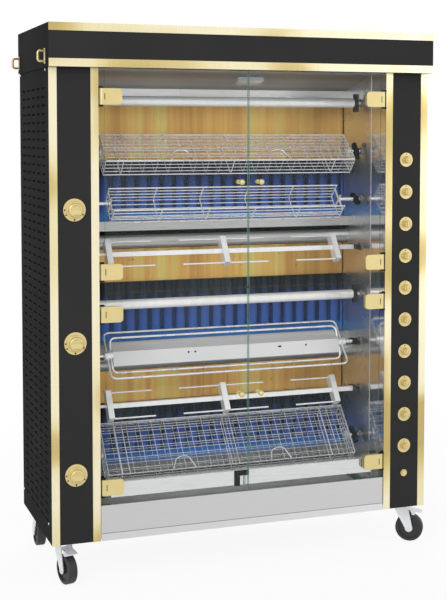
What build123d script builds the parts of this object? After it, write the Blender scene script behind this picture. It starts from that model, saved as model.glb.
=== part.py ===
from build123d import *
import math
import os

# Gas spit rotisserie: eight driven spits in front of three gas burner modules,
# in a cabinet with four glass doors, on four casters. Millimetres, X to the right,
# Y to the back, Z up, origin on the floor under the middle of the whole object.

# Cabinet
BODY_W = 1364.0            # over the side panels
BODY_D = 505.0             # column front to back panel
COLUMN_H = 1560.0          # side columns
COLUMN_W = 163.0           # front face of a column
HEADER_H = 140.0
HEADER_SIDE = 5.0          # canopy beyond each side panel
HEADER_FRONT = 32.0        # canopy in front of the columns
HEADER_LIP = 20.0          # flange that stands on the columns
SHEET = 1.5                # cabinet sheet metal
FLANGE = 14.0              # folded edge of a column panel
TRIM_W = 26.0
TRIM_T = 2.5
RAIL_W = 40.0              # base frame member
RAIL_H = 22.0
POST = 25.0                # upright in a column
POST_WALL = 2.0
PLATE_T = 4.0              # caster plate
GAP = 0.3                  # clearance between parts that move past each other
FIT = 0.05                 # radial running fit of shafts and pins

# Ventilation slots
SLOT_L = 55.0
SLOT_H = 7.0
SLOT_PITCH_Y = 85.0
SLOT_PITCH_Z = 28.0
SLOT_MARGIN = 60.0
BACK_SLOT_PITCH_X = 95.0
BACK_SLOT_PITCH_Z = 120.0
BACK_SLOT_BAND = 1320.0    # height of the slotted part of the rear cover
FLUE_SLOT_L = 60.0
FLUE_SLOT_W = 8.0
FLUE_SLOT_PITCH = 80.0
FLUE_ROWS = 3
FLUE_ROW_PITCH = 24.0
FLUE_DEPTH = 430.0         # flue slots behind the column front

# Hooks on the sides of the canopy
HOOK_ROD = 8.0
HOOK_REACH = 27.0
HOOK_H = 41.0
HOOK_RISE = 15.0           # lower end above the canopy's edge
HOOK_FRONT = 27.0          # depth of the front hook behind the column front
HOOK_BACK = 20.0           # rear hook to the back of the cabinet
HOOK_PAD_T = 2.0

# Doors
GLASS_T = 6.0
DOOR_MEET = 3.0            # gap between left and right glass
DOOR_SPLIT = 4.0           # gap between upper and lower glass
DOOR_TOP_GAP = 4.0
DOOR_RISE = 122.0          # lower glass above the cabinet's underside
LOWER_GLASS_H = 700.0
GLASS_SIDE_GAP = 20.0      # glass edge to column
HINGE_X_GAP = 12.0         # hinge axis to column
HINGE_W = 66.0             # axis to the inner edge of the block
HINGE_H = 53.0
HINGE_T = 16.0
HINGE_CORNER = 12.0
HINGE_PIN = 6.0
HINGE_INSET_TOP = 89.0     # block centre from the top edge, upper glass
HINGE_INSET_MID = 68.0     # block centre from the edges at the split
HINGE_INSET_LOW = 56.0     # block centre from the bottom edge, lower glass
EAR_T = 6.0
EAR_W = 10.0
WALL_LEAF_T = 3.0
WALL_LEAF_D = 14.0
BALL_D = 20.0
BALL_X = 35.0              # knob from the centre line
BALL_REACH = 37.0          # ball centre in front of the glass centre
BALL_UPPER_RISE = 358.0    # knob above the bottom of the upper glass
BALL_LOWER_RISE = 342.0    # knob above the bottom of the lower glass
STEM_D = 6.0
STEM_BASE_D = 14.0
STEM_BASE_T = 2.0
STEM_NUT_T = 4.0

# Controls
GAS_KNOB_D = 56.0
GAS_SKIRT_T = 6.0
GAS_GRIP_D = 46.0
GAS_GRIP_T = 14.0
GAS_GRIP_ROUND = 4.6
GAS_SPINDLE = 10.0
GAS_BEZEL_D = 74.0
GAS_BEZEL_T = 2.5
KNOB_INSET = 81.5          # knob axis from the outer face of a column
KNOB_SEAT = 0.5            # knob above its bezel
MODULE_RISE = 228.6        # lowest gas knob above the cabinet's underside
MODULE_DROP = 460.2        # highest gas knob under the canopy
MODULES = 3
SWITCH_D = 28.0
SWITCH_SKIRT_T = 5.0
SWITCH_GRIP_D = 24.0
SWITCH_GRIP_T = 12.0
SWITCH_GRIP_ROUND = 2.0
POINTER_L = 16.0
POINTER_W = 6.0
POINTER_T = 3.0
SWITCH_SPINDLE = 6.0
SWITCH_BEZEL_D = 50.0
SWITCH_BEZEL_T = 2.0
SWITCH_RISE = 226.6
SWITCH_DROP = 305.5
SWITCHES = 10
SWITCH_BODY = 28.0
SWITCH_BODY_T = 24.0
BUTTON_RISE = 126.8
BUTTON_D = 18.0
BUTTON_RING_D = 25.0
BUTTON_RING_T = 3.0
BUTTON_PROUD = 6.0
BUTTON_TRAVEL = 3.0
BUTTON_LENGTH = 10.0
BUTTON_STEM = 8.0
BUTTON_STEM_L = 12.0
BUTTON_END = 6.0           # switch body beyond the plunger
SPINDLE_DEPTH = 18.0       # spindle inside its valve or switch
SPINDLE_CLEAR = 1.0        # around a spindle in the panel and its bezel

# Roasting space
BACK_WALL_DEPTH = 353.0    # behind the column front
CEILING_DEPTH = 110.0      # level part of the ceiling
BAFFLE_DROP = 53.0         # baffle's rear edge under the canopy
STRIP_H = 31.0
APRON_DEPTH = 15.0
APRON_RISE = 138.0
APRON_H = 50.0
CATCH_W = 51.0
CATCH_H = 53.0
CATCH_T = 6.0
CATCH_ARM = 18.0
CATCH_X = -17.0
CATCH_RISE = 136.0
FLUTED_H = 215.0           # cast plate over each burner
FLUTED_BELOW = 62.0        # its lower edge under the gas knob
FLUTED_HALF = 450.0
FLUTE_PITCH = 47.2
FLUTES = 21
FLUTES_RIGHT = 10.0        # middle of the flutes from the middle of the plate
FLUTE_W = 32.0
FLUTE_D = 9.0
FLUTE_FOOT = 30.0          # plain band under the flutes
FLUTED_T = 6.0
LEDGE_H = 34.0
LEDGE_D = 53.0
BURNER_SLOT = 13.0         # dark gap under the ledge
GUARD_H = 53.0
BURNER_TUBE = 26.0
REFLECTOR_INSET = 3.0
LAMP_W = 98.0
LAMP_D = 52.0
LAMP_T = 12.0
LENS_T = 4.0
LAMP_X = 77.0
LAMP_ALONG = 0.36          # lamp's place along the baffle, front to back

# Spits
SPITS = 8
SPIT_DEPTH = 198.0         # axis behind the column front
SPIT_RISE = 229.1          # lowest axis above the cabinet's underside
SPIT_DROP = 101.0          # highest axis under the canopy
JOURNAL_D = 12.0
JOURNAL_END_GAP = 2.0
NECK_D = 14.0
GRIP_L = 65.0              # black cross bar at the driven end
GRIP_T = 16.0
GRIP_INSET = 30.0          # cross bar from the right wall
DRIVE_D = 12.0
DRIVE_DEPTH = 40.0         # drive shaft inside the gearbox
LOAD_INSET = 71.0          # load from each side wall
BASKET_INSET = 55.0
TUBE_INSET = 34.0
TUBE_D = 34.0
TUBE_WALL = 2.5
TUBE_CAP_T = 6.0
BAR = 16.0
FORK_PLATE_L = 106.0
FORK_PLATE_W = 35.0
FORK_PLATE_T = 20.0
PRONG_D = 6.0
PRONG_L = 150.0
PRONG_OFFSET = 48.0        # along the fork plate from the axis
FORK_X = (-438.0, -16.0, 412.0)
FORK_TURN = -34.0          # plate's lean from upright, top to the back, degrees
BEARING_T = 12.0
BEARING_W = 36.0
BEARING_H = 40.0
BEARING_RISE = 10.0        # bearing's top above the spit's axis
BUSH_FLANGE_D = 28.0
BUSH_D = 20.0
BUSH_FLANGE_T = 5.0
GEARBOX = 64.0
GEARBOX_T = 50.0
MOTOR_D = 50.0
MOTOR_L = 60.0

# Mesh baskets
GRID_T = 3.0
GRID_WIRE = 3.0
GRID_LONG = 56.0
GRID_SHORT = 20.0
UPPER_BASKET_W = 133.0
UPPER_BASKET_H = 70.0
UPPER_BASKET_TILT = 42.3
UPPER_BASKET_SHIFT = -8.4  # centre above the axis
LOWER_BASKET_W = 201.0
LOWER_BASKET_H = 60.0
LOWER_BASKET_TILT = 48.9
LOWER_BASKET_SHIFT = 12.2
HUB_D = 36.0
HUB_T = 6.0
LID_PLAY = 0.4             # lid above the basket's walls
LOOP_WIRE = 1.5            # eyes in which a lid's rear wire turns
LOOP_L = 4.0
LOOP_END_CELL = 1          # mesh cells between a basket's end and its outer eyes

# Wire cradle
CRADLE_W = 103.0
CRADLE_H = 68.0
CRADLE_TILT = 46.6
CRADLE_AXIS_W = 52.6       # axis from the front rim, across the cradle
CRADLE_AXIS_H = 23.5       # axis under the rims
CRADLE_WIRE = 4.0
CRADLE_ROUND = 3.6         # long wires
CRADLE_FRAMES = 6
CRADLE_SIDE_WIRES = 5
CRADLE_FLOOR_WIRES = 4
CRADLE_HUB_D = 18.0
CRADLE_END_INSET = 16.0

# Wire rack with folded tray
RACK_ROD = 8.0
RACK_OUTER = 96.0          # half height of the larger loop
RACK_INNER = 66.0
RACK_OUTER_TILT = 49.0     # loop plane from horizontal, degrees
RACK_INNER_TILT = 66.0
RACK_CORNER = 22.0
RACK_STEP = 14.0           # smaller loop inside the larger one, along X
RACK_SHEET = 2.0
RACK_CLAMP_D = 32.0
RACK_FOLDS = [(30.0, 40.0), (-10.0, 14.0), (-20.0, -34.0)]   # tray edges and fold, Y and Z from the axis

# Drip tray drawer
TRAY_RISE = 23.0           # front panel above the cabinet's underside
TRAY_FRONT_H = 95.0
TRAY_END_GAP = 2.0
TRAY_PAN_RISE = 26.5
TRAY_PAN_H = 34.0
TRAY_PAN_INSET = 20.0
TRAY_PAN_D = 335.0
LIP_H = 21.0
LIP_OUT = 8.0

# Gas train and inlets
MANIFOLD_D = 27.0
MANIFOLD_DEPTH = 95.0
VALVE_W = 40.0
VALVE_D = 44.0
VALVE_H = 44.0
FEED_D = 14.0
INLET_PIPE_D = 19.0        # pipe from the inlet to the manifold
ELBOW = 1.4                # elbow block, in pipe diameters
INLET_RISE = 80.0
INLET_THREAD_D = 20.955    # G 1/2 outside diameter
INLET_THREAD_L = 16.0
INLET_STUB = 24.0          # beyond the back panel
INLET_CLEAR = 2.0
GLAND_D = 24.0
GLAND_L = 20.0
GLAND_THREAD = 19.0
GLAND_NUT_T = 6.5
GLAND_BORE = 9.5
GLAND_RISE = 100.0

# Casters
WHEEL_D = 100.0
WHEEL_W = 32.0
WHEEL_EDGE = 5.0
WHEEL_HUB_D = 30.0
WHEEL_RECESS = 5.0
WHEEL_RIM = 38.0
TRAIL = 42.0
AXLE_D = 12.0
FORK_HEADROOM = 29.0       # fork crown above the wheel
CROWN_D = 56.0
CROWN_T = 7.7
RACE_D = 50.0
RACE_T = 9.0
KINGPIN_D = 10.0
LEG_T = 3.0
LEG_CLEAR = 3.0            # wheel face to leg
LEG_GAP = 0.5              # hub or pedal to leg
CROWN_HALF = 18.5          # half width of a leg's top edge
AXLE_BOSS_D = 28.0
CASTER_PLATE_L = 95.0
CASTER_PLATE_W = 75.0
CASTER_X_INSET = 51.0
CASTER_FRONT = 98.0
CASTER_BACK = 438.0
PEDAL_PIN_D = 6.0
PEDAL_PIVOT_X = 34.0
PEDAL_PIVOT_DROP = 11.0    # pivot under the fork crown
PEDAL_L = 53.0
PEDAL_T = 3.0
PEDAL_SLOPE = 10.0
PEDAL_PAD_X = 24.0         # brake pad from the pivot
PEDAL_PAD_GAP = 0.5        # pad above the tread
CASTER_HEADINGS = {
    "front_left": (0.24, -0.97),
    "front_right": (0.82, -0.57),
    "rear_left": (0.0, 1.0),
    "rear_right": (0.0, 1.0),
}

# Levels and planes worked out from the driving dimensions
AXLE_HALF = WHEEL_W / 2 + LEG_CLEAR
CROWN_Z = WHEEL_D + FORK_HEADROOM
RACE_Z = CROWN_Z + CROWN_T + GAP
BODY_BOTTOM = RACE_Z + RACE_T + PLATE_T
HEADER_Z = BODY_BOTTOM + COLUMN_H
TOP_Z = HEADER_Z + HEADER_H
HALF_W = BODY_W / 2
INNER_X = HALF_W - COLUMN_W
HEADER_HALF = HALF_W + HEADER_SIDE
BALL_FRONT = BALL_REACH + BALL_D / 2
REAR_REACH = max(CASTER_BACK + TRAIL + WHEEL_D / 2, BODY_D + INLET_STUB)
FRONT_REACH = max(BALL_FRONT, HEADER_FRONT + TRIM_T)
FRONT_Y = (FRONT_REACH - REAR_REACH) / 2
BACK_Y = FRONT_Y + BODY_D
HEADER_FRONT_Y = FRONT_Y - HEADER_FRONT
BACK_WALL_Y = FRONT_Y + BACK_WALL_DEPTH
RAIL_TOP = BODY_BOTTOM + RAIL_H
SPIT_Y = FRONT_Y + SPIT_DEPTH
KNOB_X = HALF_W - KNOB_INSET
HINGE_X = INNER_X - HINGE_X_GAP
GLASS_X = INNER_X - GLASS_SIDE_GAP
LOAD_HALF = INNER_X - LOAD_INSET
BASKET_HALF = INNER_X - BASKET_INSET
TUBE_HALF = INNER_X - TUBE_INSET
GRIP_X = INNER_X - GRIP_INSET
JOURNAL_X = INNER_X - JOURNAL_END_GAP
LEDGE_Y = BACK_WALL_Y - LEDGE_D
CASTER_X = HALF_W - CASTER_X_INSET

LOWER_GLASS = (BODY_BOTTOM + DOOR_RISE, BODY_BOTTOM + DOOR_RISE + LOWER_GLASS_H)
UPPER_GLASS = (LOWER_GLASS[1] + DOOR_SPLIT, HEADER_Z - DOOR_TOP_GAP)
UPPER_HINGES = (UPPER_GLASS[0] + HINGE_INSET_MID, UPPER_GLASS[1] - HINGE_INSET_TOP)
LOWER_HINGES = (LOWER_GLASS[0] + HINGE_INSET_LOW, LOWER_GLASS[1] - HINGE_INSET_MID)


def spaced(low, high, count):
    """Evenly spaced values from high down to low."""
    return [high - (high - low) * i / (count - 1) for i in range(count)]


SPIT_Z = spaced(BODY_BOTTOM + SPIT_RISE, HEADER_Z - SPIT_DROP, SPITS)
MODULE_Z = spaced(BODY_BOTTOM + MODULE_RISE, HEADER_Z - MODULE_DROP, MODULES)
SWITCH_Z = spaced(BODY_BOTTOM + SWITCH_RISE, HEADER_Z - SWITCH_DROP, SWITCHES)
BUTTON_Z = BODY_BOTTOM + BUTTON_RISE

os.makedirs("parts", exist_ok=True)


def level(z):
    """Horizontal sketch plane at height z."""
    return Plane.XY.offset(z)


def front_plane(y):
    """Upright sketch plane facing the front, X across and Z up."""
    return Plane.XZ.offset(-y)


def side_plane(x):
    """Upright sketch plane facing +X, Y across and Z up."""
    return Plane.YZ.offset(x)


def spit_plane(z, x, turn=0.0):
    """Plane across a spit at height z, its first axis turned up from +Y by turn degrees."""
    angle = math.radians(turn)
    return Plane(origin=(x, SPIT_Y, z), x_dir=(0, math.cos(angle), math.sin(angle)), z_dir=(1, 0, 0))


def block(xs, ys, zs, mode=Mode.ADD):
    """Rectangular block in the open part, from its limits along X, Y and Z."""
    low = [min(pair) for pair in (xs, ys, zs)]
    high = [max(pair) for pair in (xs, ys, zs)]
    with Locations(tuple((a + b) / 2 for a, b in zip(low, high))):
        Box(*[b - a for a, b in zip(low, high)], mode=mode)


def front_disc(x, z, y_front, thickness, diameter, mode=Mode.ADD):
    """Disc in the open part whose axis runs front to back."""
    with BuildSketch(front_plane(y_front)) as profile:
        with Locations((x, z)):
            Circle(diameter / 2)
    extrude(profile.sketch, amount=-thickness, mode=mode)


def cross_disc(y, z, x_low, x_high, diameter, mode=Mode.ADD):
    """Disc or rod in the open part whose axis runs along X."""
    with BuildSketch(side_plane(x_low)) as profile:
        with Locations((y, z)):
            Circle(diameter / 2)
    extrude(profile.sketch, amount=x_high - x_low, mode=mode)


def save(name, *pieces):
    """Write a sub-part: one piece, or several separate solids in one file."""
    node = pieces[0] if len(pieces) == 1 else Compound(label=name, children=list(pieces))
    node.label = name
    export_step(node, f"parts/{name}.step")


# Cabinet shell


def make_side_panel(side):
    """Flat outer side with its rows of short ventilation slots."""
    rows = int((COLUMN_H - 2 * SLOT_MARGIN) / SLOT_PITCH_Z) + 1
    columns = int((BODY_D - 2 * SLOT_MARGIN) / SLOT_PITCH_Y) + 1
    centre = (FRONT_Y + BODY_D / 2, BODY_BOTTOM + COLUMN_H / 2)
    with BuildPart() as panel:
        with BuildSketch(side_plane(side * HALF_W)):
            with Locations(centre):
                Rectangle(BODY_D, COLUMN_H)
                with GridLocations(SLOT_PITCH_Y, SLOT_PITCH_Z, columns, rows):
                    Rectangle(SLOT_L, SLOT_H, mode=Mode.SUBTRACT)
        extrude(amount=-side * SHEET)
    return panel.part


def control_holes(side):
    """Places and diameters of the spindle holes in a column's front."""
    if side < 0:
        return [(z, GAS_SPINDLE + 2 * SPINDLE_CLEAR) for z in MODULE_Z]
    holes = [(z, SWITCH_SPINDLE + 2 * SPINDLE_CLEAR) for z in SWITCH_Z]
    return holes + [(BUTTON_Z, BUTTON_D + 2 * GAP)]


def make_column_panel(side):
    """Front of a column, folded back along both long edges."""
    with BuildPart() as panel:
        with BuildSketch(level(BODY_BOTTOM)):
            outer = HALF_W - SHEET
            inner = INNER_X + SHEET
            with Locations((side * (outer + INNER_X) / 2, FRONT_Y + SHEET / 2)):
                Rectangle(outer - INNER_X, SHEET)
            with Locations((side * (outer - SHEET / 2), FRONT_Y + FLANGE / 2),
                           (side * (inner + SHEET / 2), FRONT_Y + FLANGE / 2)):
                Rectangle(SHEET, FLANGE)
        extrude(amount=COLUMN_H)
        for z, diameter in control_holes(side):
            front_disc(side * KNOB_X, z, FRONT_Y, SHEET, diameter, mode=Mode.SUBTRACT)
    return panel.part


def make_header_shell():
    """Canopy: fascia, sides and rear, with a flange that stands on the columns."""
    with BuildPart() as shell:
        block((-HEADER_HALF, HEADER_HALF), (HEADER_FRONT_Y, BACK_Y), (HEADER_Z, TOP_Z - SHEET))
        block((-HEADER_HALF + SHEET, HEADER_HALF - SHEET),
              (HEADER_FRONT_Y + SHEET, BACK_Y - SHEET),
              (HEADER_Z + SHEET, TOP_Z), mode=Mode.SUBTRACT)
        opening = INNER_X - HEADER_LIP
        block((-opening, opening), (FRONT_Y + HEADER_LIP, BACK_Y - HEADER_LIP),
              (HEADER_Z, HEADER_Z + SHEET), mode=Mode.SUBTRACT)
    return shell.part


def make_header_top():
    """Cover of the canopy with a row of flue slots."""
    count = int(2 * INNER_X / FLUE_SLOT_PITCH)
    with BuildPart() as top:
        block((-HEADER_HALF, HEADER_HALF), (HEADER_FRONT_Y, BACK_Y), (TOP_Z - SHEET, TOP_Z))
        with BuildSketch(level(TOP_Z)):
            with Locations((0, FRONT_Y + FLUE_DEPTH)):
                with GridLocations(FLUE_SLOT_PITCH, FLUE_ROW_PITCH, count, FLUE_ROWS):
                    SlotOverall(FLUE_SLOT_L, FLUE_SLOT_W)
        extrude(amount=-SHEET, mode=Mode.SUBTRACT)
    return top.part


def make_trims():
    """Flat brass strips: two on each column and two across the canopy."""
    strips = []
    front = (FRONT_Y - TRIM_T, FRONT_Y)
    for side in (-1, 1):
        for edge in (INNER_X, HALF_W - TRIM_W):
            with BuildPart() as strip:
                block((side * edge, side * (edge + TRIM_W)), front, (BODY_BOTTOM, HEADER_Z))
            strips.append(strip.part)
    for low in (HEADER_Z, TOP_Z - TRIM_W):
        with BuildPart() as strip:
            block((-HEADER_HALF, HEADER_HALF), (HEADER_FRONT_Y - TRIM_T, HEADER_FRONT_Y),
                  (low, low + TRIM_W))
        strips.append(strip.part)
    return strips


def make_hook(side, y):
    """C-shaped brass hook standing off the side of the canopy."""
    low = HEADER_Z + HOOK_RISE + HOOK_ROD / 2
    high = low + HOOK_H - HOOK_ROD
    near = side * HEADER_HALF
    far = side * (HEADER_HALF + HOOK_REACH - HOOK_ROD / 2)
    with BuildPart() as hook:
        with BuildLine():
            FilletPolyline((near, y, high), (far, y, high), (far, y, low), (near, y, low),
                           radius=HOOK_ROD)
        with BuildSketch(Plane(origin=(near, y, high), z_dir=(side, 0, 0))):
            Circle(HOOK_ROD / 2)
        sweep()
        pad = (near, near + side * HOOK_PAD_T)
        block(pad, (y - HOOK_ROD, y + HOOK_ROD), (low - HOOK_ROD, high + HOOK_ROD))
    return hook.part


def make_back_panel():
    """Rear cover with ventilation slots, and holes for the gas and power inlets."""
    columns = int((BODY_W - 2 * SLOT_MARGIN) / BACK_SLOT_PITCH_X) + 1
    rows = int(min(BACK_SLOT_BAND, COLUMN_H - 2 * SLOT_MARGIN) / BACK_SLOT_PITCH_Z)
    inside = HALF_W - SHEET
    with BuildPart() as panel:
        block((-inside, inside), (BACK_Y - SHEET, BACK_Y), (BODY_BOTTOM, HEADER_Z))
        with BuildSketch(front_plane(BACK_Y)):
            with Locations((0, BODY_BOTTOM + COLUMN_H / 2 + SLOT_MARGIN)):
                with GridLocations(BACK_SLOT_PITCH_X, BACK_SLOT_PITCH_Z, columns, rows):
                    Rectangle(SLOT_L, SLOT_H)
        extrude(amount=SHEET, mode=Mode.SUBTRACT)
        inlet_hole = INLET_THREAD_D + 2 * INLET_CLEAR
        front_disc(-KNOB_X, BODY_BOTTOM + INLET_RISE, BACK_Y - SHEET, SHEET, inlet_hole,
                   mode=Mode.SUBTRACT)
        front_disc(KNOB_X, BODY_BOTTOM + GLAND_RISE, BACK_Y - SHEET, SHEET,
                   GLAND_THREAD + 2 * GAP, mode=Mode.SUBTRACT)
    return panel.part


# Base frame, uprights and caster plates


def caster_place(corner):
    """Swivel axis of a caster."""
    x = CASTER_X if "right" in corner else -CASTER_X
    y = FRONT_Y + (CASTER_FRONT if "front" in corner else CASTER_BACK)
    return x, y


def make_base_frame():
    """Welded base: outer rails, two long rails under the inner walls and tray runners."""
    outside = HALF_W - SHEET
    front = FRONT_Y + FLANGE + SHEET
    back = BACK_Y - SHEET
    height = (BODY_BOTTOM, RAIL_TOP)
    with BuildPart() as frame:
        block((-outside, outside), (front, back), height)
        block((-outside + RAIL_W, -INNER_X - RAIL_W), (front + RAIL_W, back - RAIL_W), height,
              mode=Mode.SUBTRACT)
        block((INNER_X + RAIL_W, outside - RAIL_W), (front + RAIL_W, back - RAIL_W), height,
              mode=Mode.SUBTRACT)
        block((-INNER_X + RAIL_W, INNER_X - RAIL_W), (front + RAIL_W, back - RAIL_W), height,
              mode=Mode.SUBTRACT)
        runner = (RAIL_TOP, BODY_BOTTOM + TRAY_PAN_RISE - GAP)
        for side in (-1, 1):
            block((side * (INNER_X - RAIL_W), side * INNER_X), (front, BACK_WALL_Y), runner)
    return frame.part


def make_post(x, y):
    """Square tube upright from the base frame to the canopy."""
    with BuildPart() as post:
        with BuildSketch(level(RAIL_TOP)):
            with Locations((x, y)):
                Rectangle(POST, POST)
                Rectangle(POST - 2 * POST_WALL, POST - 2 * POST_WALL, mode=Mode.SUBTRACT)
        extrude(amount=HEADER_Z - RAIL_TOP)
    return post.part


def make_posts():
    """Four uprights in the outer corners of the columns."""
    x = HALF_W - 2 * SHEET - POST / 2
    ys = (FRONT_Y + FLANGE + SHEET + POST / 2, BACK_Y - SHEET - POST / 2)
    return [make_post(side * x, y) for side in (-1, 1) for y in ys]


def make_caster_plate(corner):
    """Mounting plate with the upper bearing race and the kingpin."""
    x, y = caster_place(corner)
    with BuildPart() as plate:
        with BuildSketch(level(BODY_BOTTOM)):
            with Locations((x, y)):
                RectangleRounded(CASTER_PLATE_L, CASTER_PLATE_W, PLATE_T)
        extrude(amount=-PLATE_T)
        with BuildSketch(level(BODY_BOTTOM - PLATE_T)):
            with Locations((x, y)):
                Circle(RACE_D / 2)
        extrude(amount=-RACE_T)
        with BuildSketch(level(RACE_Z)):
            with Locations((x, y)):
                Circle(KINGPIN_D / 2)
        extrude(amount=-CROWN_T - GAP)
    return plate.part


# Casters, built with the swivel axis at the origin and trailing along +X


def make_caster_fork(braked):
    """Fork with crown, two legs and the wheel axle; the braked one also carries a pedal pin."""
    leg_in = AXLE_HALF
    leg_out = AXLE_HALF + LEG_T
    axle_z = WHEEL_D / 2
    pivot_z = CROWN_Z - PEDAL_PIVOT_DROP
    with BuildPart() as fork:
        with BuildSketch(level(CROWN_Z)):
            Circle(CROWN_D / 2)
            Circle(KINGPIN_D / 2 + FIT, mode=Mode.SUBTRACT)
        extrude(amount=CROWN_T)
        for side in (-1, 1):
            with BuildSketch(Plane.XZ.offset(-side * leg_in)):
                with BuildLine():
                    Polyline((-CROWN_HALF, CROWN_Z + CROWN_T), (CROWN_HALF, CROWN_Z + CROWN_T),
                             (PEDAL_PIVOT_X + PEDAL_PIN_D, pivot_z + PEDAL_PIN_D),
                             (TRAIL + AXLE_BOSS_D / 2, axle_z),
                             (TRAIL - AXLE_BOSS_D / 2, axle_z), close=True)
                make_face()
                with Locations((TRAIL, axle_z)):
                    Circle(AXLE_BOSS_D / 2)
            extrude(amount=-side * LEG_T)
        with BuildSketch(Plane.XZ.offset(-leg_out - LEG_T)):
            with Locations((TRAIL, axle_z)):
                Circle(AXLE_D / 2)
        extrude(amount=2 * (leg_out + LEG_T))
        if braked:
            with BuildSketch(Plane.XZ.offset(-leg_out)):
                with Locations((PEDAL_PIVOT_X, pivot_z)):
                    Circle(PEDAL_PIN_D / 2)
            extrude(amount=2 * leg_out)
    return fork.part


def make_caster_wheel():
    """Wheel with a rounded tread, recessed faces and a hub that runs on the axle."""
    half = WHEEL_W / 2
    hub_half = AXLE_HALF - LEG_GAP
    with BuildPart() as wheel:
        with BuildSketch(Plane.XZ.offset(-half)):
            with Locations((TRAIL, WHEEL_D / 2)):
                Circle(WHEEL_D / 2)
        extrude(amount=WHEEL_W)
        fillet(wheel.edges().filter_by(GeomType.CIRCLE), radius=WHEEL_EDGE)
        for side in (-1, 1):
            with BuildSketch(Plane.XZ.offset(-side * half)):
                with Locations((TRAIL, WHEEL_D / 2)):
                    Circle(WHEEL_RIM)
            extrude(amount=side * WHEEL_RECESS, mode=Mode.SUBTRACT)
        with BuildSketch(Plane.XZ.offset(-hub_half)):
            with Locations((TRAIL, WHEEL_D / 2)):
                Circle(WHEEL_HUB_D / 2)
        extrude(amount=2 * hub_half)
        with BuildSketch(Plane.XZ.offset(-hub_half)):
            with Locations((TRAIL, WHEEL_D / 2)):
                Circle(AXLE_D / 2 + FIT)
        extrude(amount=2 * hub_half, mode=Mode.SUBTRACT)
    return wheel.part


def make_brake_pedal():
    """Brake pedal on its pin over the wheel, with a pad that bears on the tread."""
    half = AXLE_HALF - LEG_GAP
    drop = math.tan(math.radians(PEDAL_SLOPE))
    pivot_z = CROWN_Z - PEDAL_PIVOT_DROP
    tip_x = PEDAL_PIVOT_X + PEDAL_L
    tip_z = pivot_z - PEDAL_L * drop
    pad_x = PEDAL_PIVOT_X + PEDAL_PAD_X
    pad_half = PEDAL_PIN_D
    tread = WHEEL_D / 2 + PEDAL_PAD_GAP
    pad_low = WHEEL_D / 2 + math.sqrt(tread ** 2 - (pad_x - pad_half - TRAIL) ** 2)
    with BuildPart() as pedal:
        with BuildSketch(Plane.XZ.offset(-half)):
            with BuildLine():
                Polyline((PEDAL_PIVOT_X, pivot_z + PEDAL_T), (tip_x, tip_z + PEDAL_T),
                         (tip_x, tip_z), (PEDAL_PIVOT_X, pivot_z), close=True)
            make_face()
            with BuildLine():
                Polyline((pad_x - pad_half, pivot_z - drop * (PEDAL_PAD_X - pad_half)),
                         (pad_x + pad_half, pivot_z - drop * (PEDAL_PAD_X + pad_half)),
                         (pad_x + pad_half, pad_low), (pad_x - pad_half, pad_low), close=True)
            make_face()
            with Locations((PEDAL_PIVOT_X, pivot_z)):
                Circle(PEDAL_PIN_D)
        extrude(amount=2 * half)
        with BuildSketch(Plane.XZ.offset(-half)):
            with Locations((PEDAL_PIVOT_X, pivot_z)):
                Circle(PEDAL_PIN_D / 2 + FIT)
        extrude(amount=2 * half, mode=Mode.SUBTRACT)
    return pedal.part


# Doors


def make_door_glass(side, glass, knob_z):
    """Clear glass pane with a hole for the knob's screw."""
    low, high = glass
    with BuildPart() as pane:
        block((side * DOOR_MEET / 2, side * GLASS_X),
              (FRONT_Y - GLASS_T / 2, FRONT_Y + GLASS_T / 2), (low, high))
        front_disc(side * BALL_X, knob_z, FRONT_Y - GLASS_T / 2, GLASS_T, STEM_D + 2 * GAP,
                   mode=Mode.SUBTRACT)
    return pane.part


def make_hinge_block(side, z):
    """Brass block that grips the glass and turns on the hinge pin."""
    inner = HINGE_X - HINGE_W
    with BuildPart() as hinge:
        block((side * inner, side * HINGE_X), (FRONT_Y - HINGE_T / 2, FRONT_Y + HINGE_T / 2),
              (z - HINGE_H / 2, z + HINGE_H / 2))
        free_edge = hinge.edges().filter_by(Axis.Y).group_by(Axis.X)[0 if side > 0 else -1]
        fillet(free_edge, radius=HINGE_CORNER)
        with BuildSketch(level(z - HINGE_H / 2)):
            with Locations((side * HINGE_X, FRONT_Y)):
                Circle(HINGE_T / 2)
        extrude(amount=HINGE_H)
        with BuildSketch(level(z - HINGE_H / 2)):
            with Locations((side * HINGE_X, FRONT_Y)):
                Circle(HINGE_PIN / 2 + FIT)
        extrude(amount=HINGE_H, mode=Mode.SUBTRACT)
        block((side * inner, side * GLASS_X),
              (FRONT_Y - GLASS_T / 2, FRONT_Y + GLASS_T / 2),
              (z - HINGE_H / 2, z + HINGE_H / 2), mode=Mode.SUBTRACT)
    return hinge.part


def make_door_knob(side, z):
    """Ball on a stem, screwed through the glass with a nut behind it."""
    x = side * BALL_X
    face = FRONT_Y - GLASS_T / 2
    rear = FRONT_Y + GLASS_T / 2
    with BuildPart() as knob:
        front_disc(x, z, FRONT_Y - BALL_REACH, BALL_REACH + GLASS_T / 2 + STEM_NUT_T, STEM_D)
        with Locations((x, FRONT_Y - BALL_REACH, z)):
            Sphere(BALL_D / 2)
        front_disc(x, z, face - STEM_BASE_T, STEM_BASE_T, STEM_BASE_D)
        front_disc(x, z, rear, STEM_NUT_T, STEM_BASE_D)
    return knob.part


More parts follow.
